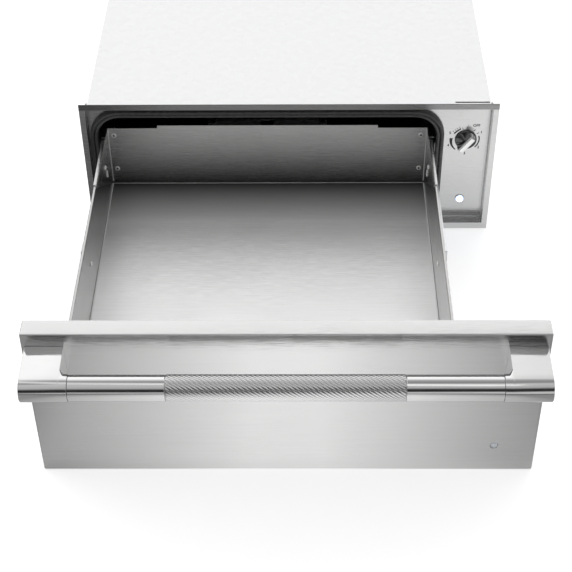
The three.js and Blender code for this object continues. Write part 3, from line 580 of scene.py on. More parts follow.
def bracket_surface(side):
    """A bracket: the round-nosed section carried along X.

    It swells from a rounded outer end, keeps its size across the arm, then draws back over a
    hollow quarter circle to the round sleeve that holds the tube.
    """
    outer, inner_end = BRACKET_HIGH[0], BRACKET_LOW[0]
    arm, hollow, ease, taper = 285.2, 5.0, 0.8, 0.067
    body_radius, sleeve, arm_corner = 18.0, 18.0, 9
    panel, tight = -0.3, 0.5
    behind = HANDLE_Y + sleeve
    stations = []
    for angle in np.radians(np.linspace(0, 90, 5)):
        inset = ease * (1 - math.sin(angle))
        stations.append((outer - ease * (1 - math.cos(angle)), body_radius - inset, panel, tight, taper))
    stations += [(x, body_radius, panel, tight, taper) for x in (arm + ease, arm)]
    for angle in np.radians(np.linspace(90, 0, 8)):
        back = behind + hollow * (1 - math.cos(angle))
        corner = sleeve - (sleeve - arm_corner) * math.sin(angle)
        x = arm - hollow + hollow * math.sin(angle)
        stations.append((x, sleeve, back, corner, taper * math.sin(angle)))
    stations.append((inner_end + 0.2, sleeve, behind, sleeve, 0.0))
    for inset in (0.2, 0.5):
        stations.append((inner_end, sleeve - inset, behind - inset, sleeve - inset, 0.0))
    rings = []
    for x, radius, back, corner, spread in stations:
        section = bar_section(radius, back, corner, spread)
        rings.append(np.column_stack([np.full(len(section), side * x), section]))
    return ring_surface(np.array(rings))


def tube_surface():
    """The plain tube: a circle carried along X, thinner where the knurled sleeve sits on it."""
    radius = TUBE_HIGH[2] - HANDLE_Z
    end = TUBE_HIGH[0]
    waist = GRIP_HIGH[0] + 0.3
    ends = [(radius - 0.4, -end), (radius, 0.4 - end)]
    steps = [(radius, -waist - 0.5), (radius - 0.35, -waist - 0.1), (radius - 1.3, -waist)]
    half = np.array(ends + steps)
    profile = np.vstack([half, half[::-1] * [1, -1]])
    return turned(profile, (HANDLE_Y, HANDLE_Z), 0, 72)


def grip_surface(starts, pitch, depth):
    """The knurled sleeve: ropes wound along the tube.

    radius = outer - depth * (1 - height), where height is 0.86 times
    |cos(pi * (x / pitch + starts * angle / full turn))|^0.8, plus 0.14 of a finer winding that
    crosses the ropes. They fade out over the last 2 mm at each end.
    """
    outer = GRIP_HIGH[2] - HANDLE_Z
    half = GRIP_HIGH[0]
    inner = outer - 1.1
    count = int(2 * half / pitch * 8)
    x = np.linspace(-half, half, count)[:, None]
    angle = full_turn(starts * 8)[None, :]
    winding = math.pi * (x / pitch + starts * angle / (2 * math.pi))
    crossing = math.pi * (3 * x / pitch - starts * angle / (2 * math.pi))
    rope = np.abs(np.cos(winding)) ** 0.8
    fine = np.abs(np.cos(crossing))
    height = 0.86 * rope + 0.14 * fine
    fade = np.clip((half - np.abs(x)) / 2.0, 0, 1)
    height = height * fade + 0.35 * (1 - fade)
    radius = outer - depth * (1 - height)

    def round_tube(x, radius):
        y, z = HANDLE_Y - radius * np.cos(angle), HANDLE_Z + radius * np.sin(angle)
        return np.stack(np.broadcast_arrays(x, y, z), -1)

    ends = round_tube(np.array([[half], [-half]]), np.full((2, 1), inner))
    surface = ring_surface(np.concatenate([round_tube(x, radius), ends]), closed_path=True)
    return surface, np.concatenate([height.ravel(), np.zeros(2 * radius.shape[1])])


# -------- small fasteners


def screw_surface(place, facing, length, head=4.1, tall=2.1):
    """A pan-head screw with a cross recess.

    Over the head the height is rim + (tall - rim) * (1 - (r / head)^2.6)^0.5, less a well: two
    crossed bars, 1.6 mm wide and 5 mm long, with sloping sides. The shank is a plain circle behind it. Also
    returns a number for each point, 0 at the bottom of the well.
    """
    around, shank, rim, well_depth = 64, 1.6, 0.25, 1.25
    radius = np.concatenate([np.linspace(0.12, head * 0.97, 22), [head]])[:, None]
    angle = full_turn(around)[None, :]
    across, up = radius * np.cos(angle), radius * np.sin(angle)
    dome = rim + (tall - rim) * np.sqrt(np.clip(1 - (radius / head) ** 2.6, 0, 1)) + 0 * angle

    def bar(over, along):
        return np.clip((1.0 - np.abs(over)) / 0.4, 0, 1) * np.clip((2.7 - np.abs(along)) / 0.5, 0, 1)

    well = np.maximum(bar(across, up), bar(up, across))
    top = np.stack([across, up, dome - well_depth * well], -1)
    circle = np.stack([np.cos(angle[0]), np.sin(angle[0]), np.zeros(around)], -1)
    steps = ((head, 0.0), (shank, 0.0), (shank, -length), (0.2, -length))
    below = np.array([circle * [r, r, 0] + [0, 0, z] for r, z in steps])
    rings = np.concatenate([top, below])
    surface = ring_surface(rings @ np.array(facing, float) + np.asarray(place, float))
    return surface, np.concatenate([1 - well.ravel(), np.ones(len(steps) * around), [0.0, 1.0]])


def pan_screw(name, node, seat, facing, plating, length, **head):
    """One of the pan's screws at its seat, in place of its node."""
    surface, depth = screw_surface(seat, facing, length, **head)
    make_piece(name, [surface], plating, "drawer", [node], depth=depth)


def pan_highlight_rods():
    """Pale rods that paint highlights along the pan's bright edges. On each side one runs along the
    wall's foot, one up the back's fold and one in the wall's slot. The last lies in the crease behind the
    floor."""
    foot = PAN_FLOOR + 0.4
    # distance from the pan's middle, first (y, z), last (y, z), radius
    bright_lines = (
        (256.2, (45, foot), (546.4, foot), 0.8),
        (255.4, (PAN_BACK, -172), (PAN_BACK, -68), 0.5),
        (255.2, (495, -124), (495, -112), 1.3),
    )
    rods = []
    for _, side in SIDES:
        for away, first, last, radius in bright_lines:
            x = PAN_MID + side * away
            rods.append(rod((x, *first), (x, *last), radius))
    crease = PAN_BACK - 0.2
    rods.append(rod((PAN_MID - 255, crease, foot), (PAN_MID + 255, crease, foot), 0.3))
    return rods


def frame_highlight_rods():
    """Pale rods that paint the highlights on two bends of the frame's tray: the right part of its
    foot, and its side.
    """
    depth, foot, side = 546.9, -247.2, 320.3
    along_foot = rod((44, depth, foot), (side - 0.1, depth, foot), 0.5)
    return [along_foot, rod((side, depth, foot + 0.2), (side, depth, TRAY_TOP - 0.6), 0.4)]


# -------- seal and controls


def seal_surface(lobe, valley):
    """The door seal: a section with two lobes carried round the opening.

    The section is (inward, depth) and each of its points runs round the rounded rectangle
    that lies that far inside the seal's outer edge. The inner lobe stands a step further back.
    """
    front, back = SEAL_LOW[1], SEAL_HIGH[1]
    width, corner, step, groove, foot = 12.8, 50.0, 1.2, 6.3, 3.0
    outer, outer_half, inner, inner_half = 3.3, 2.9, 9.6, 3.0
    arc = np.radians(np.linspace(180, 0, 13))
    outer_lobe = [(outer + outer_half * math.cos(a), front + lobe - lobe * math.sin(a)) for a in arc]
    inner_front = front + step
    inner_lobe = [(inner + inner_half * math.cos(a), inner_front + lobe - lobe * math.sin(a)) for a in arc]
    section = [(0, back), (0, back - foot), (0.4, back - foot - 0.2)]
    section += outer_lobe + [(groove, front + valley)] + inner_lobe
    section += [(width - 0.2, back - foot - 0.2), (width, back - foot), (width, back)]
    low, high = SEAL_LOW[::2], SEAL_HIGH[::2]
    rings = []
    for inset, y in section:
        shape = rounded_rectangle(low + inset, high - inset, corner - inset, (40, 16), 16)
        rings.append(standing(shape, y))
    return ring_surface(np.array(rings), closed_path=True)


def turned_about_knob(surface):
    """Turns points drawn upright about the knob's axis: (x cos t + z sin t, y, z cos t - x sin t)."""
    points, quads, triangles = surface
    c, s = math.cos(KNOB_TURN), math.sin(KNOB_TURN)
    x = points[:, 0] * c + points[:, 2] * s + KNOB_X
    z = points[:, 2] * c - points[:, 0] * s + KNOB_Z
    return np.column_stack([x, points[:, 1], z]), quads, triangles


def knob_skirt_surface():
    """The knob's round skirt, a shallow cone turned from a softened profile."""
    front, back = 539.0, KNOB_HIGH[1]
    radius, bore, deep = KNOB_HIGH[0] - KNOB_X, 5.5, 3
    corners = [(0.3, front + 0.1), (5.0, front), (radius - 0.9, front + 5.2), (radius, front + 6.2)]
    corners += [(radius, back), (bore, back), (bore, back - deep)]
    return turned(np.vstack([soft_profile(corners, 0.7), [(0.3, back - deep)]]), (0, 0), 1, 96)


def knob_grip_surface():
    """The bar across the knob: |x| <= half width inside a circle, with a gently rounded front.

    On each ring x is far * sin a, kept within the half width, and z is (far^2 - x^2)^0.5, drawn in
    to 0 at the sides. Both are smaller by the easing of the edge. Over the face the depth grows by
    crown * (x / half width)^2 from the middle.
    """
    crown, base, reach, width, edge, around = 1.0, 544.6, 16.4, 5.5, 1.1, 96
    front = KNOB_LOW[1] + crown
    angle = full_turn(around)
    eases = [(width + 0.4, base, 0.0), (width + 0.1, front + 2.0, 0.0)]
    for a in np.radians(np.linspace(15, 90, 6)):
        eases.append((width, front + edge * (1 - math.sin(a)), edge * (1 - math.cos(a))))
    rings = []
    for half, y, inset in eases:
        wide, far = half - inset, reach - inset
        x = np.clip(far * np.sin(angle), -wide, wide)
        z = np.sign(np.cos(angle)) * np.minimum(np.sqrt(far**2 - x**2), far * np.abs(np.cos(angle)) * 1.6)
        rings.append(np.column_stack([x, np.full(around, y), z]))
    face = rings[-1]
    for share in (0.8, 0.6, 0.4, 0.2, 0.04):
        y = np.full(around, front - crown * (1 - share**2))
        rings.append(np.column_stack([face[:, 0] * share, y, face[:, 2]]))
    return ring_surface(np.array(rings))


def band_mark(start, end, near, far, taper=1.0):
    """An arc of the dial: angles from start to end, clockwise from the top, between two radii.

    The inner radius runs from far - (far - near) * taper at the start to near at the end.
    """
    steps = 40
    angle = np.radians(np.linspace(start, end, steps))
    t = np.linspace(0, 1, steps)
    low = far - (far - near) * (taper + (1 - taper) * t)
    high = np.full(steps, far)
    back, front = RECESS_Y - 0.02, RECESS_Y - 0.08
    rings = []
    for radius, y in ((low, back), (low, front), (high, front), (high, back)):
        x, z = KNOB_X + radius * np.sin(angle), KNOB_Z + radius * np.cos(angle)
        rings.append(np.column_stack([x, np.full(steps, y), z]))
    return ring_surface(np.array(rings).transpose(1, 0, 2))


def dial_word(text, degrees, radius, ink):
    """A number or word as a thin solid, upright on the recess's face at an angle of the dial."""
    angle = math.radians(degrees)
    curve = bpy.data.curves.new("mark", "FONT")
    curve.body = text
    curve.size = LETTER_HEIGHT * 0.001
    curve.align_x = "CENTER"
    curve.align_y = "CENTER"
    curve.extrude = 0.00003
    curve.offset = 0.00016
    temporary = put_in_scene("mark", curve)
    bpy.context.view_layer.update()
    mesh = bpy.data.meshes.new_from_object(temporary.evaluated_get(bpy.context.evaluated_depsgraph_get()))
    bpy.data.objects.remove(temporary)
    place = placed([KNOB_X + radius * math.sin(angle), RECESS_Y - 0.06, KNOB_Z + radius * math.cos(angle)])
    mesh.transform(Matrix.Translation(place) @ Matrix.Rotation(math.pi / 2, 4, "X"))
    mesh.materials.clear()
    mesh.materials.append(ink)
    piece = put_in_scene(f"dial_{text}", mesh)
    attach(piece, "housing")


def lamp_dome_surface():
    """The lamp: a dome, radius * cos a across and tall * sin a high, with its foot behind it."""
    foot, tall, radius, back = 547.0, 3.5, 6.2, 552.0
    angle = np.radians(np.linspace(88, 8, 10))
    dome = [(radius * math.cos(a), foot - tall * math.sin(a)) for a in angle]
    behind = [(6.3, foot + 0.1), (5.0, foot + 0.1), (5.0, back), (0.2, back)]
    return turned([(0.2, foot - tall)] + dome + behind, LIGHT, 1)


def lamp_bezel_surface():
    """The ring round the lamp: a circle, wire * (cos a, sin a), carried round it."""
    wire, radius, middle = 0.6, 7.2, 546.6
    section = [(radius + wire * math.cos(a), middle - wire * math.sin(a)) for a in full_turn(12)]
    return turned(section, LIGHT, 1, closed=True)


# -------- heating


def element_surface(radius):
    """The heating element: a circle carried along a path of straight legs and round turns.

    Each circle is path + radius * (cos a * sideways + sin a * up), where sideways is level and
    at right angles to the path.
    """
    low, high = node_box("heating_element")
    z = (low[2] + high[2]) / 2
    first_leg, apart, front, back, end = -216, 118, 650.0, 990.0, 1080.0
    legs = first_leg + apart * np.arange(4)
    path = [np.column_stack([np.full(12, legs[0]), np.linspace(end, front, 12, endpoint=False)])]
    turn = np.linspace(0, math.pi, 24)
    for k, (towards, bulge, after) in enumerate(((front, -1, back), (back, 0.9, front), (front, -1, end))):
        middle, half = (legs[k] + legs[k + 1]) / 2, (legs[k + 1] - legs[k]) / 2
        bend = [middle - half * np.cos(turn), towards + bulge * half * np.sin(turn)]
        path.append(np.column_stack(bend))
        path.append(np.column_stack([np.full(10, legs[k + 1]), np.linspace(towards, after, 12)[1:11]]))
    path.append(np.array([[legs[3], end]]))
    path = np.vstack(path)
    ahead = np.gradient(path, axis=0)
    ahead /= np.linalg.norm(ahead, axis=1, keepdims=True)
    angle = full_turn(16)
    rings = np.zeros((len(path), len(angle), 3))
    rings[..., 0] = path[:, :1] - radius * np.cos(angle) * ahead[:, 1:2]
    rings[..., 1] = path[:, 1:2] + radius * np.cos(angle) * ahead[:, :1]
    rings[..., 2] = z + radius * np.sin(angle)
    return ring_surface(rings)


def stud_surface(node):
    """A domed stud: foot, shank and a head whose top is a flattened half sphere."""
    low, high = node_box(node)
    foot, top = low[2], high[2]
    flange, shank, cap, tall, under = 6.0, 2.5, 5.8, 4.0, top - 4.2
    angle = np.radians(np.linspace(0, 85, 9))
    head = [(cap * math.cos(a), top - tall + tall * math.sin(a)) for a in angle]
    base = [(0.3, foot), (flange - 0.3, foot), (flange, foot + 0.3), (flange, foot + 2.3)]
    base += [(shank, foot + 2.5), (shank, under), (cap - 0.2, under)]
    return turned(base + head, (low[:2] + high[:2]) / 2, 2)


# -------- what a user would change


def paint(name, description, default):
    """A colour that a user would change."""
    return FloatVectorProperty(name=name, description=description, subtype="COLOR", default=default)


def amount(name, description, default, low, high):
    """A number that a user would change, with its limits."""
    return FloatProperty(name=name, description=description, default=default, min=low, max=high)


class FrontSettings(bpy.types.PropertyGroup):
    """Sizes and colours of the drawer front."""

    color: paint("Steel", "Colour of the brushed front", (0.57, 0.57, 0.567))
    bend: amount("Bend", "Radius of the folded edge, millimetres", 2.0, 0.5, 4.0)
    roughness: FloatProperty(
        name="Roughness",
        description="How blurred the steel's reflections are",
        subtype="FACTOR",
        default=0.2,
    )


class HandleSettings(bpy.types.PropertyGroup):
    """Sizes and colours of the handle."""

    color: paint("Polish", "Colour of tube and brackets", (0.64, 0.64, 0.637))
    knurl_color: paint("Knurl", "Colour of the knurled sleeve", (0.55, 0.55, 0.547))
    pitch: amount("Pitch", "Distance between ropes along the sleeve, millimetres", 6.33, 2.0, 12.0)
    starts: IntProperty(
        name="Ropes", description="How many ropes are wound round the sleeve", default=24, min=6, max=40
    )
    depth: amount("Depth", "Depth of the grooves, millimetres", 0.75, 0.1, 1.0)


class PanSettings(bpy.types.PropertyGroup):
    """Colours and edges of the pan and its slides."""

    color: paint("Steel", "Colour of the brushed pan", (0.44, 0.44, 0.437))
    floor_color: paint("Floor", "Colour of the pan's floor", (0.9, 0.9, 0.897))
    back_color: paint("Back", "Colour of the pan's back panel", (0.58, 0.58, 0.577))
    slide_color: paint("Slides", "Colour of the plated slides", PLATING)
    edge: amount("Edge", "Rounding of folded edges, millimetres", 0.4, 0.1, 0.6)


class FrameSettings(bpy.types.PropertyGroup):
    """Colours of the face frame and its seal."""

    color: paint("Steel", "Colour of the satin frame", (0.6, 0.6, 0.597))
    seal_color: paint("Seal", "Colour of the seal", (0.08, 0.08, 0.081))
    lobe: amount("Lobe", "Height of the seal's rounded lobes, millimetres", 2.9, 1.0, 4.0)


class ControlSettings(bpy.types.PropertyGroup):
    """Colours of the knob, its dial and the lamp."""

    color: paint("Knob", "Colour of the polished knob", (0.78, 0.78, 0.777))
    ink: paint("Print", "Colour of the dial's print", (0.02, 0.02, 0.022))
    glow: paint("Glow", "Colour of the lamp", (0.5, 0.68, 1.0))
    strength: amount("Strength", "Brightness of the lamp", 30.0, 0.0, 60.0)


class CavitySettings(bpy.types.PropertyGroup):
    """Colours of what stands in the heated cavity."""

    color: paint("Enamel", "Colour of the liner", (0.05, 0.05, 0.05))
    element_color: paint("Element", "Colour of the heating element", (0.10, 0.09, 0.09))
    element_radius: amount("Element radius", "Radius of the element, millimetres", 4.0, 2.0, 4.0)


class HousingSettings(bpy.types.PropertyGroup):
    """Colours of the housing and what is hidden in it."""

    color: paint("Zinc", "Colour of the zinc coating", (0.92, 0.925, 0.925))
    wool: paint("Wool", "Colour of the insulation", (0.8, 0.79, 0.74))


class StageSettings(bpy.types.PropertyGroup):
    """Floor and light."""

    floor: paint("Floor", "Colour of the floor", (0.86, 0.86, 0.86))
    lens: FloatProperty(
        name="Lens", description="Focal length on a 36 mm frame", subtype="DISTANCE_CAMERA", default=86.05
    )
    sky: amount("Sky", "Strength of the soft light all round", 1.0, 0.1, 2.0)


# -------- operators


class DRAWER_OT_front(bpy.types.Operator):
    """Makes the folded front, its window and what fills it"""

    bl_idname = "drawer.front"
    bl_label = "Drawer front"

    def execute(self, context):
        s = context.scene.drawer_front
        steel = brushed_steel("front_steel", tuple(s.color), 0, s.roughness, 0.3, 0.035)
        window_radius, lens_radius, behind = 5.6, 5.3, 2.4
        skin = front_skin_surface(s.bend, window_radius)
        make_piece("front_panel", [skin], steel, "drawer", ["front_skin"])
        middle = placed([LIGHT_X, 0, LIGHT_Z])
        milk, glow = (0.8, 0.84, 0.88), (0.8, 0.9, 1.0)
        lens = glowing_lens("window_plastic", milk, glow, 0.05, middle, lens_radius)
        corners = [(0.2, WINDOW_FRONT), (2.8, -0.6), (5.2, 0.2), (lens_radius, behind), (0.2, behind)]
        window = turned(soft_profile(corners, 0.8), LIGHT, 1)
        make_piece("window", [window], lens, "drawer", ["window_lens"])
        dress("light_pipe", lens, 0.2)
        dress("front_liner", brushed_steel("liner_steel", (0.66, 0.66, 0.655), 0, 0.32, 0.4), 0.4)
        dress("front_insulation", mineral_wool("front_wool", tuple(context.scene.drawer_housing.wool)), 0)
        return {"FINISHED"}


class DRAWER_OT_handle(bpy.types.Operator):
    """Makes the two brackets, the tube and the knurled sleeve"""

    bl_idname = "drawer.handle"
    bl_label = "Handle"

    def execute(self, context):
        s = context.scene.drawer_handle
        polish = polished_steel("handle_polish", tuple(s.color), 0.09)
        bolt = plated_steel("bolt_plating", PLATING, 0.3)
        for name, side in SIDES:
            node = f"handle_bracket_{name}"
            bracket = bracket_surface(side)
            make_piece(f"bracket_{name}", [bracket], polish, "drawer", [node])
            dress(f"handle_bolt_{name}", bolt, 0.4)
        make_piece("tube", [tube_surface()], polish, "drawer", ["handle_tube"])
        surface, depth = grip_surface(s.starts, s.pitch, s.depth)
        knurl = knurled_steel("knurl", tuple(s.knurl_color), 0.24)
        make_piece(
            "knurled_sleeve", [surface], knurl, "drawer", ["handle_grip"], 80, depth
        )
        return {"FINISHED"}


class DRAWER_OT_pan(bpy.types.Operator):
    """Finishes the pan's sheets and makes the pale rods that paint highlights along their edges"""

    bl_idname = "drawer.pan"
    bl_label = "Pan"

    def execute(self, context):
        s = context.scene.drawer_pan
        corner = placed([0, PAN_BACK, PAN_FLOOR])
        # painted shade: the floor darkens over its last 100 mm, and the back over its lowest 110 mm,
        # towards the corner between them
        shade_to_back = ("Y", corner[1] - 0.1, corner[1], 1.0, 0.05)
        floor = brushed_steel("pan_floor_steel", tuple(s.floor_color), 0, 0.42, 0.45, 0.06, 0.6, shade_to_back)
        shade_to_floor = ("Z", corner[2] + 0.11, corner[2], 0.95, 0.42)
        back = brushed_steel("pan_back_steel", tuple(s.back_color), 0, 0.26, 0.3, 0.05, 1.0, shade_to_floor)
        wall = brushed_steel("pan_wall_steel", tuple(s.color), 1, 0.2, 0.3, 0.06)
        dress("pan_floor", floor, 0.3)
        dress("pan_back", back, s.edge)
        for name, _ in SIDES:
            dress(f"pan_side_{name}", wall, s.edge)
        # painted highlight: near-white rods along the pan's bright edges
        edge = zinc_coat("painted_edge_highlight", (0.98, 0.98, 0.975), 0.45, 0.0)
        make_piece("pan_edge_highlights", pan_highlight_rods(), edge, "drawer")
        return {"FINISHED"}


class DRAWER_OT_screws(bpy.types.Operator):
    """Makes the pan's cross-head screws"""

    bl_idname = "drawer.screws"
    bl_label = "Pan screws"

    def execute(self, context):
        plating = cross_head("screw_plating", (0.95, 0.95, 0.94), 0.25)
        back_seat, proud = PAN_BACK + 0.1, 2.3
        forwards = ((1, 0, 0), (0, 0, 1), (0, -1, 0))
        for name, side in SIDES:
            for row in ("upper", "lower"):
                node = f"back_screw_{row}_{name}"
                low, high = node_box(node)
                x, _, z = (low + high) / 2
                length = high[1] - back_seat
                piece = f"screw_back_{row}_{name}"
                pan_screw(piece, node, [x, back_seat, z], forwards, plating, length)
            inwards = ((0, -1, 0), (0, 0, 1), (-side, 0, 0))
            for kind in ("flange", "wall"):
                node = f"{kind}_screw_{name}"
                low, high = node_box(node)
                inner, outer = (high[0], low[0]) if side < 0 else (low[0], high[0])
                _, y, z = (low + high) / 2
                x = inner + side * proud
                length = abs(outer - x)
                piece = f"screw_{kind}_{name}"
                pan_screw(piece, node, [x, y, z], inwards, plating, length, head=4.0, tall=2.2)
        return {"FINISHED"}


class DRAWER_OT_slides(bpy.types.Operator):
    """Finishes the telescopic slides and their end stops"""

    bl_idname = "drawer.slides"
    bl_label = "Slides"

    def execute(self, context):
        plating = plated_steel("slide_plating", tuple(context.scene.drawer_pan.slide_color), 0.3)
        for name, _ in SIDES:
            for rail in ("cabinet", "middle", "drawer"):
                dress(f"slide_{rail}_{name}", plating, 0.3)
            dress(f"slide_stop_{name}", plating, 0.6, 3)
        return {"FINISHED"}


class DRAWER_OT_frame(bpy.types.Operator):
    """Finishes the face frame, makes the pale rods that paint highlights on its bends, and the seal"""

    bl_idname = "drawer.face_frame"
    bl_label = "Face frame and seal"

    def execute(self, context):
        s = context.scene.drawer_frame
        rim = placed([0, 0, TRAY_TOP])[2]
        # painted shade: the frame's steel above the tray's top is coloured 0.45 as bright
        shaded = ("Z", rim - 0.001, rim + 0.001, 1.0, 0.45)
        steel = brushed_steel("frame_steel", tuple(s.color), 0, 0.22, 0.3, 0.03, 1.0, shaded)
        dress("face_frame", steel, 0.5)
        highlight = zinc_coat("bend_highlight", (0.95, 0.95, 0.945), 0.4, 0.2)
        make_piece("frame_bend_highlights", frame_highlight_rods(), highlight, "housing")
        silicone = rubber("silicone", tuple(s.seal_color), 0.38)
        seal = seal_surface(s.lobe, 5.0)
        make_piece("seal", [seal], silicone, "housing", ["drawer_seal"])
        return {"FINISHED"}


class DRAWER_OT_controls(bpy.types.Operator):
    """Makes the knob, the dial's print and the lamp"""

    bl_idname = "drawer.controls"
    bl_label = "Knob, dial and lamp"

    def execute(self, context):
        s = context.scene.drawer_controls
        polish = polished_steel("knob_polish", tuple(s.color), 0.05)
        # the skirt's polished steel is coloured dark grey, 0.13
        dark_skirt_steel = polished_steel("knob_skirt_polish", (0.13, 0.13, 0.13), 0.08)
        skirt = turned_about_knob(knob_skirt_surface())
        make_piece("knob_skirt", [skirt], dark_skirt_steel, "knob", ["control_knob"])
        make_piece("knob_grip", [turned_about_knob(knob_grip_surface())], polish, "knob")
        dress("switch_shaft", plated_steel("shaft_plating", PLATING, 0.3), 0.3)
        ink = printed_ink("dial_ink", tuple(s.ink))
        # degrees clockwise from the top, and distances from the knob's middle
        marks = [band_mark(72, 134, 20.6, 22.6), band_mark(218, 276, 20.6, 26.0, 0.3)]
        marks += [band_mark(300, 336, 20.8, 23.0)]
        marks += [band_mark(a - 1.4, a + 1.4, 20.0, 24.0) for a in (36.6, 57, 180, 206, 344, 2)]
        marks += [band_mark(a - 1.0, a + 1.0, 23.0, 27.0) for a in (307, 316, 325, 334)]
        make_piece("dial_bands", marks, ink, "housing", crease=20)
        words = (("OFF", 30, 31.0), ("1", 60, 28.0), ("2", 126, 26.4), ("3", 180, 27.6))
        words += (("4", 247, 29.6), ("5", 296, 28.6))
        for text, degrees, radius in words:
            dial_word(text, degrees, radius, ink)
        front = 543.4
        middle = placed([LIGHT_X, front, LIGHT_Z])
        lens = glowing_lens("lamp_lens", (0.9, 0.94, 1.0), tuple(s.glow), s.strength, middle, 6.0)
        make_piece("lamp_dome", [lamp_dome_surface()], lens, "housing", ["indicator_lens"])
        make_piece("lamp_bezel", [lamp_bezel_surface()], polish, "housing")
        plastic = moulded_plastic("switch_plastic", (0.04, 0.04, 0.042), 0.55)
        for node in ("heat_switch", "indicator_lamp", "terminal_block"):
            dress(node, plastic, 0.4)
        return {"FINISHED"}


class DRAWER_OT_cavity(bpy.types.Operator):
    """Finishes the enamelled cavity and makes its element and studs"""

    bl_idname = "drawer.cavity"
    bl_label = "Cavity and heating"

    def execute(self, context):
        s = context.scene.drawer_cavity
        dress("cavity_liner", enamel("black_enamel", tuple(s.color), 0.34), 0.4)
        sheath = plated_steel("element_sheath", tuple(s.element_color), 0.45)
        element = element_surface(s.element_radius)
        make_piece("element", [element], sheath, "housing", ["heating_element"])
        black = enamel("stud_black", (0.03, 0.03, 0.03), 0.22)
        for name, _ in SIDES:
            node = f"strap_stud_{name}"
            make_piece(f"stud_{name}", [stud_surface(node)], black, "housing", [node])
        dress("element_strap", zinc_coat("strap_coat", (0.9, 0.9, 0.9), 0.5, 0.0), 0.3)
        dress("sensor_bulb", polished_steel("sensor_polish", (0.75, 0.75, 0.74), 0.2), 0.3)
        dress("sensor_clip", plated_steel("clip_plating", PLATING, 0.35), 0.3)
        dress("limit_thermostat", moulded_plastic("thermostat_plastic", (0.05, 0.045, 0.04), 0.5), 0.4)
        return {"FINISHED"}


class DRAWER_OT_housing(bpy.types.Operator):
    """Finishes the housing's sheets and the insulation"""

    bl_idname = "drawer.housing"
    bl_label = "Housing"

    def execute(self, context):
        s = context.scene.drawer_housing
        zinc = zinc_coat("zinc_coat", tuple(s.color), 0.42, 0.3)
        for node in ("base", "top", "side_left", "side_right"):
            dress(f"housing_{node}", zinc, 0.3)
        for node in ("rear_cover", "control_divider"):
            dress(node, zinc, 0.3)
        wool = mineral_wool("housing_wool", tuple(s.wool))
        dress("insulation_blanket", wool, 0)
        dress("insulation_rear", wool, 0)
        dress("cord_gland", moulded_plastic("gland_plastic", (0.04, 0.04, 0.042), 0.5), 0.5, 3)
        return {"FINISHED"}


def floor_finish(color):
    """Pale floor that reads white, and that metal mirrors a little darker away from its middle.

    For mirrored rays the floor carries painted shade: the brightness is 1 in front of the drawer's
    middle and falls with |x|, and with the distance in front of the drawer. Between the front and
    the frame it rises with x and falls a little towards the frame, a painted shadow of the drawer.
    """
    seen_light, mirrored_light = 0.58, 0.95
    finish, tree, shader = new_finish("pale_floor", color, 0.9)
    ray = add(tree, "ShaderNodeLightPath").outputs
    place = add(tree, "ShaderNodeNewGeometry").outputs["Position"]
    axes = add(tree, "ShaderNodeSeparateXYZ", Vector=place).outputs
    beside = calculate(tree, "ABSOLUTE", axes["X"])
    # painted shade and painted shadow, seen only in what the metal mirrors
    sideways = ranged(tree, beside, 1.0, 0.24, 0.05, 0.42)
    forwards = ranged(tree, axes["Y"], 0.45, 1.0, -3.0, -1.1)
    in_front = calculate(tree, "MULTIPLY", sideways, forwards)
    rising = ranged(tree, axes["X"], 0.1, 0.78, -0.3, 0.25)
    underneath = ranged(tree, axes["Y"], 1.0, 0.8, -0.48, -0.32)
    in_between = calculate(tree, "MULTIPLY", rising, underneath)
    fall = ranged(tree, axes["Y"], in_front, in_between, -0.85, -0.7)
    factor = ranged(tree, ray["Is Glossy Ray"], 1.0, fall, 0.0, 1.0)
    shade(tree, shader, color, factor)
    seen = calculate(tree, "MAXIMUM", ray["Is Camera Ray"], ray["Is Transmission Ray"])
    plain = calculate(tree, "MULTIPLY", seen, seen_light)
    mirrored = calculate(tree, "MULTIPLY", ray["Is Glossy Ray"], mirrored_light)
    mirrored = calculate(tree, "MULTIPLY", mirrored, factor)
    lift = calculate(tree, "ADD", plain, mirrored)
    glow = add(tree, "ShaderNodeEmission", Color=(1, 1, 1, 1), Strength=lift)
    both = add(tree, "ShaderNodeAddShader", _0=shader.outputs[0], _1=glow.outputs[0])
    tree.links.new(both.outputs[0], tree.nodes["Material Output"].inputs["Surface"])
    return finish


# angle in degrees, brightness
SKY = (
    (0, 0.85), (8, 0.6), (13, 0.07), (16, 0.035), (31, 0.035), (37, 0.3), (46, 0.62), (67, 0.72),
    (74, 0.76), (80, 0.6), (87, 0.34), (104, 0.46), (114, 0.68), (123, 1.2), (134, 1.5), (180, 1.5),
)


def sky(strength):
    """Soft light all round that changes with height, as in a tent with a gap in front.

    SKY lists brightness over the angle atan2(z, -y) - 0.35 x: 0 degrees is level in front of the
    drawer, 90 overhead, 180 level behind. The dark gap lies between 13 and 35 degrees.
    """
    lean = -0.35
    world = bpy.data.worlds.new("studio")
    bpy.context.scene.world = world
    world.use_nodes = True
    tree = world.node_tree
    direction = add(tree, "ShaderNodeTexCoord").outputs["Generated"]
    axes = add(tree, "ShaderNodeSeparateXYZ", Vector=direction).outputs
    towards_user = calculate(tree, "MULTIPLY", axes["Y"], -1.0)
    angle = calculate(tree, "ARCTAN2", axes["Z"], towards_user)
    leaning = calculate(tree, "MULTIPLY_ADD", axes["X"], lean, angle)
    ramp = add(tree, "ShaderNodeValToRGB", Fac=ranged(tree, leaning, 0.0, 1.0, 0.0, math.pi))
    stops = ramp.color_ramp.elements
    for k, (degrees, value) in enumerate(SKY):
        stop = stops[k] if k < 2 else stops.new(degrees / 180)
        stop.position = degrees / 180
        stop.color = (value, value, value, 1)
    tree.nodes["Background"].inputs["Strength"].default_value = strength
    tree.links.new(ramp.outputs["Color"], tree.nodes["Background"].inputs["Color"])


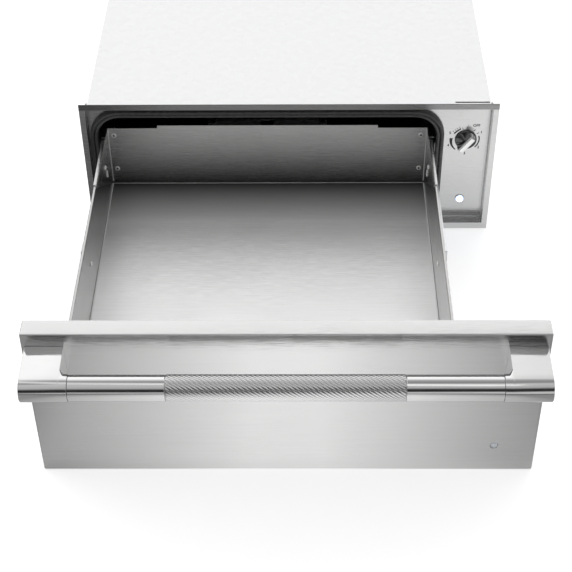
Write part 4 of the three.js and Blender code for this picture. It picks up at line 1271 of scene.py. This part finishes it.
def stage_sheet(name, corners, finish):
    """One flat sheet of the stage through four corners in metres."""
    mesh = bpy.data.meshes.new(name)
    mesh.from_pydata(corners, [], [(0, 1, 2, 3)])
    mesh.materials.append(finish)
    made = put_in_scene(name, mesh)


def stand(made, right, up, back, place):
    """Puts an object at a place in metres, with its own axes along right, up and back."""
    columns = np.eye(4)
    columns[:3, :4] = np.column_stack([right, up, back, place])
    made.matrix_world = Matrix(columns.tolist())


def soft_lamp(name, place, aim, size, power):
    """A soft rectangular lamp that points at a place."""
    light = bpy.data.lights.new(name, "AREA")
    light.shape = "RECTANGLE"
    light.size, light.size_y = size
    light.energy = power
    made = put_in_scene(name, light)
    ahead = np.asarray(aim, float) - place
    ahead /= np.linalg.norm(ahead)
    side = np.cross(ahead, (0, 0, 1))
    side /= np.linalg.norm(side)
    stand(made, side, np.cross(side, ahead), -ahead, place)
    made.visible_camera = False


def flat_turn(angle):
    """The matrix that turns the first two axes by an angle."""
    c, s = math.cos(angle), math.sin(angle)
    return np.array([[c, s, 0], [-s, c, 0], [0, 0, 1]])


def photo_camera(lens):
    """The camera at the fitted place, turned by a yaw, a pitch and a roll."""
    place = (0.02116, -2.07918, 1.45121)
    yaw, pitch, roll = np.radians([0.92, 41.73, 0.68])
    c, s = math.cos(pitch), math.sin(pitch)
    tilt = np.array([[1, 0, 0], [0, -s, -c], [0, c, -s]])
    right, down, ahead = flat_turn(roll) @ tilt @ flat_turn(yaw)
    camera = bpy.data.cameras.new("camera")
    camera.lens = lens
    camera.sensor_width = 36
    camera.clip_start = 0.05
    made = put_in_scene("camera", camera)
    stand(made, right, -down, -ahead, place)
    bpy.context.scene.camera = made


class DRAWER_OT_stage(bpy.types.Operator):
    """Sets the floor, the soft light and the camera"""

    bl_idname = "drawer.stage"
    bl_label = "Stage"

    def execute(self, context):
        s = context.scene.drawer_stage
        gap, span = 0.0006, 7.0
        floor = CAD_BOX[0].z - gap
        corners = [(-span, -span, floor), (span, -span, floor), (span, span, floor), (-span, span, floor)]
        stage_sheet("floor", corners, floor_finish(tuple(s.floor)))
        sky(s.sky)
        place, aim = np.array([-0.5, -1.2, 2.6]), (0, -0.4, 0.1)
        soft_lamp("soft_lamp", place, aim, size=(3.0, 0.6), power=3.2)
        photo_camera(s.lens)
        context.scene.view_settings.view_transform = "Standard"
        return {"FINISHED"}


STEPS = (
    DRAWER_OT_front,
    DRAWER_OT_handle,
    DRAWER_OT_pan,
    DRAWER_OT_screws,
    DRAWER_OT_slides,
    DRAWER_OT_frame,
    DRAWER_OT_controls,
    DRAWER_OT_cavity,
    DRAWER_OT_housing,
    DRAWER_OT_stage,
)

GROUPS = {
    "drawer_front": FrontSettings,
    "drawer_handle": HandleSettings,
    "drawer_pan": PanSettings,
    "drawer_frame": FrameSettings,
    "drawer_controls": ControlSettings,
    "drawer_cavity": CavitySettings,
    "drawer_housing": HousingSettings,
    "drawer_stage": StageSettings,
}


class DRAWER_PT_panel(bpy.types.Panel):
    """Lists the drawer's pieces and their settings"""

    bl_idname = "DRAWER_PT_panel"
    bl_label = "Warming drawer"
    bl_space_type = "VIEW_3D"
    bl_region_type = "UI"
    bl_category = "Warming drawer"

    def draw(self, context):
        for step in STEPS:
            self.layout.operator(step.bl_idname)
        for name, group in GROUPS.items():
            box = self.layout.box()
            for key in group.__annotations__:
                box.prop(getattr(context.scene, name), key)


def register():
    for group in GROUPS.values():
        bpy.utils.register_class(group)
    for name, group in GROUPS.items():
        setattr(bpy.types.Scene, name, PointerProperty(type=group))
    for step in STEPS:
        bpy.utils.register_class(step)
    bpy.utils.register_class(DRAWER_PT_panel)


def unregister():
    bpy.utils.unregister_class(DRAWER_PT_panel)
    for step in reversed(STEPS):
        bpy.utils.unregister_class(step)
    for name, group in GROUPS.items():
        delattr(bpy.types.Scene, name)
        bpy.utils.unregister_class(group)


def main():
    register()
    for step in STEPS:
        group, call = step.bl_idname.split(".")
        getattr(getattr(bpy.ops, group), call)()


if __name__ == "__main__":
    main()
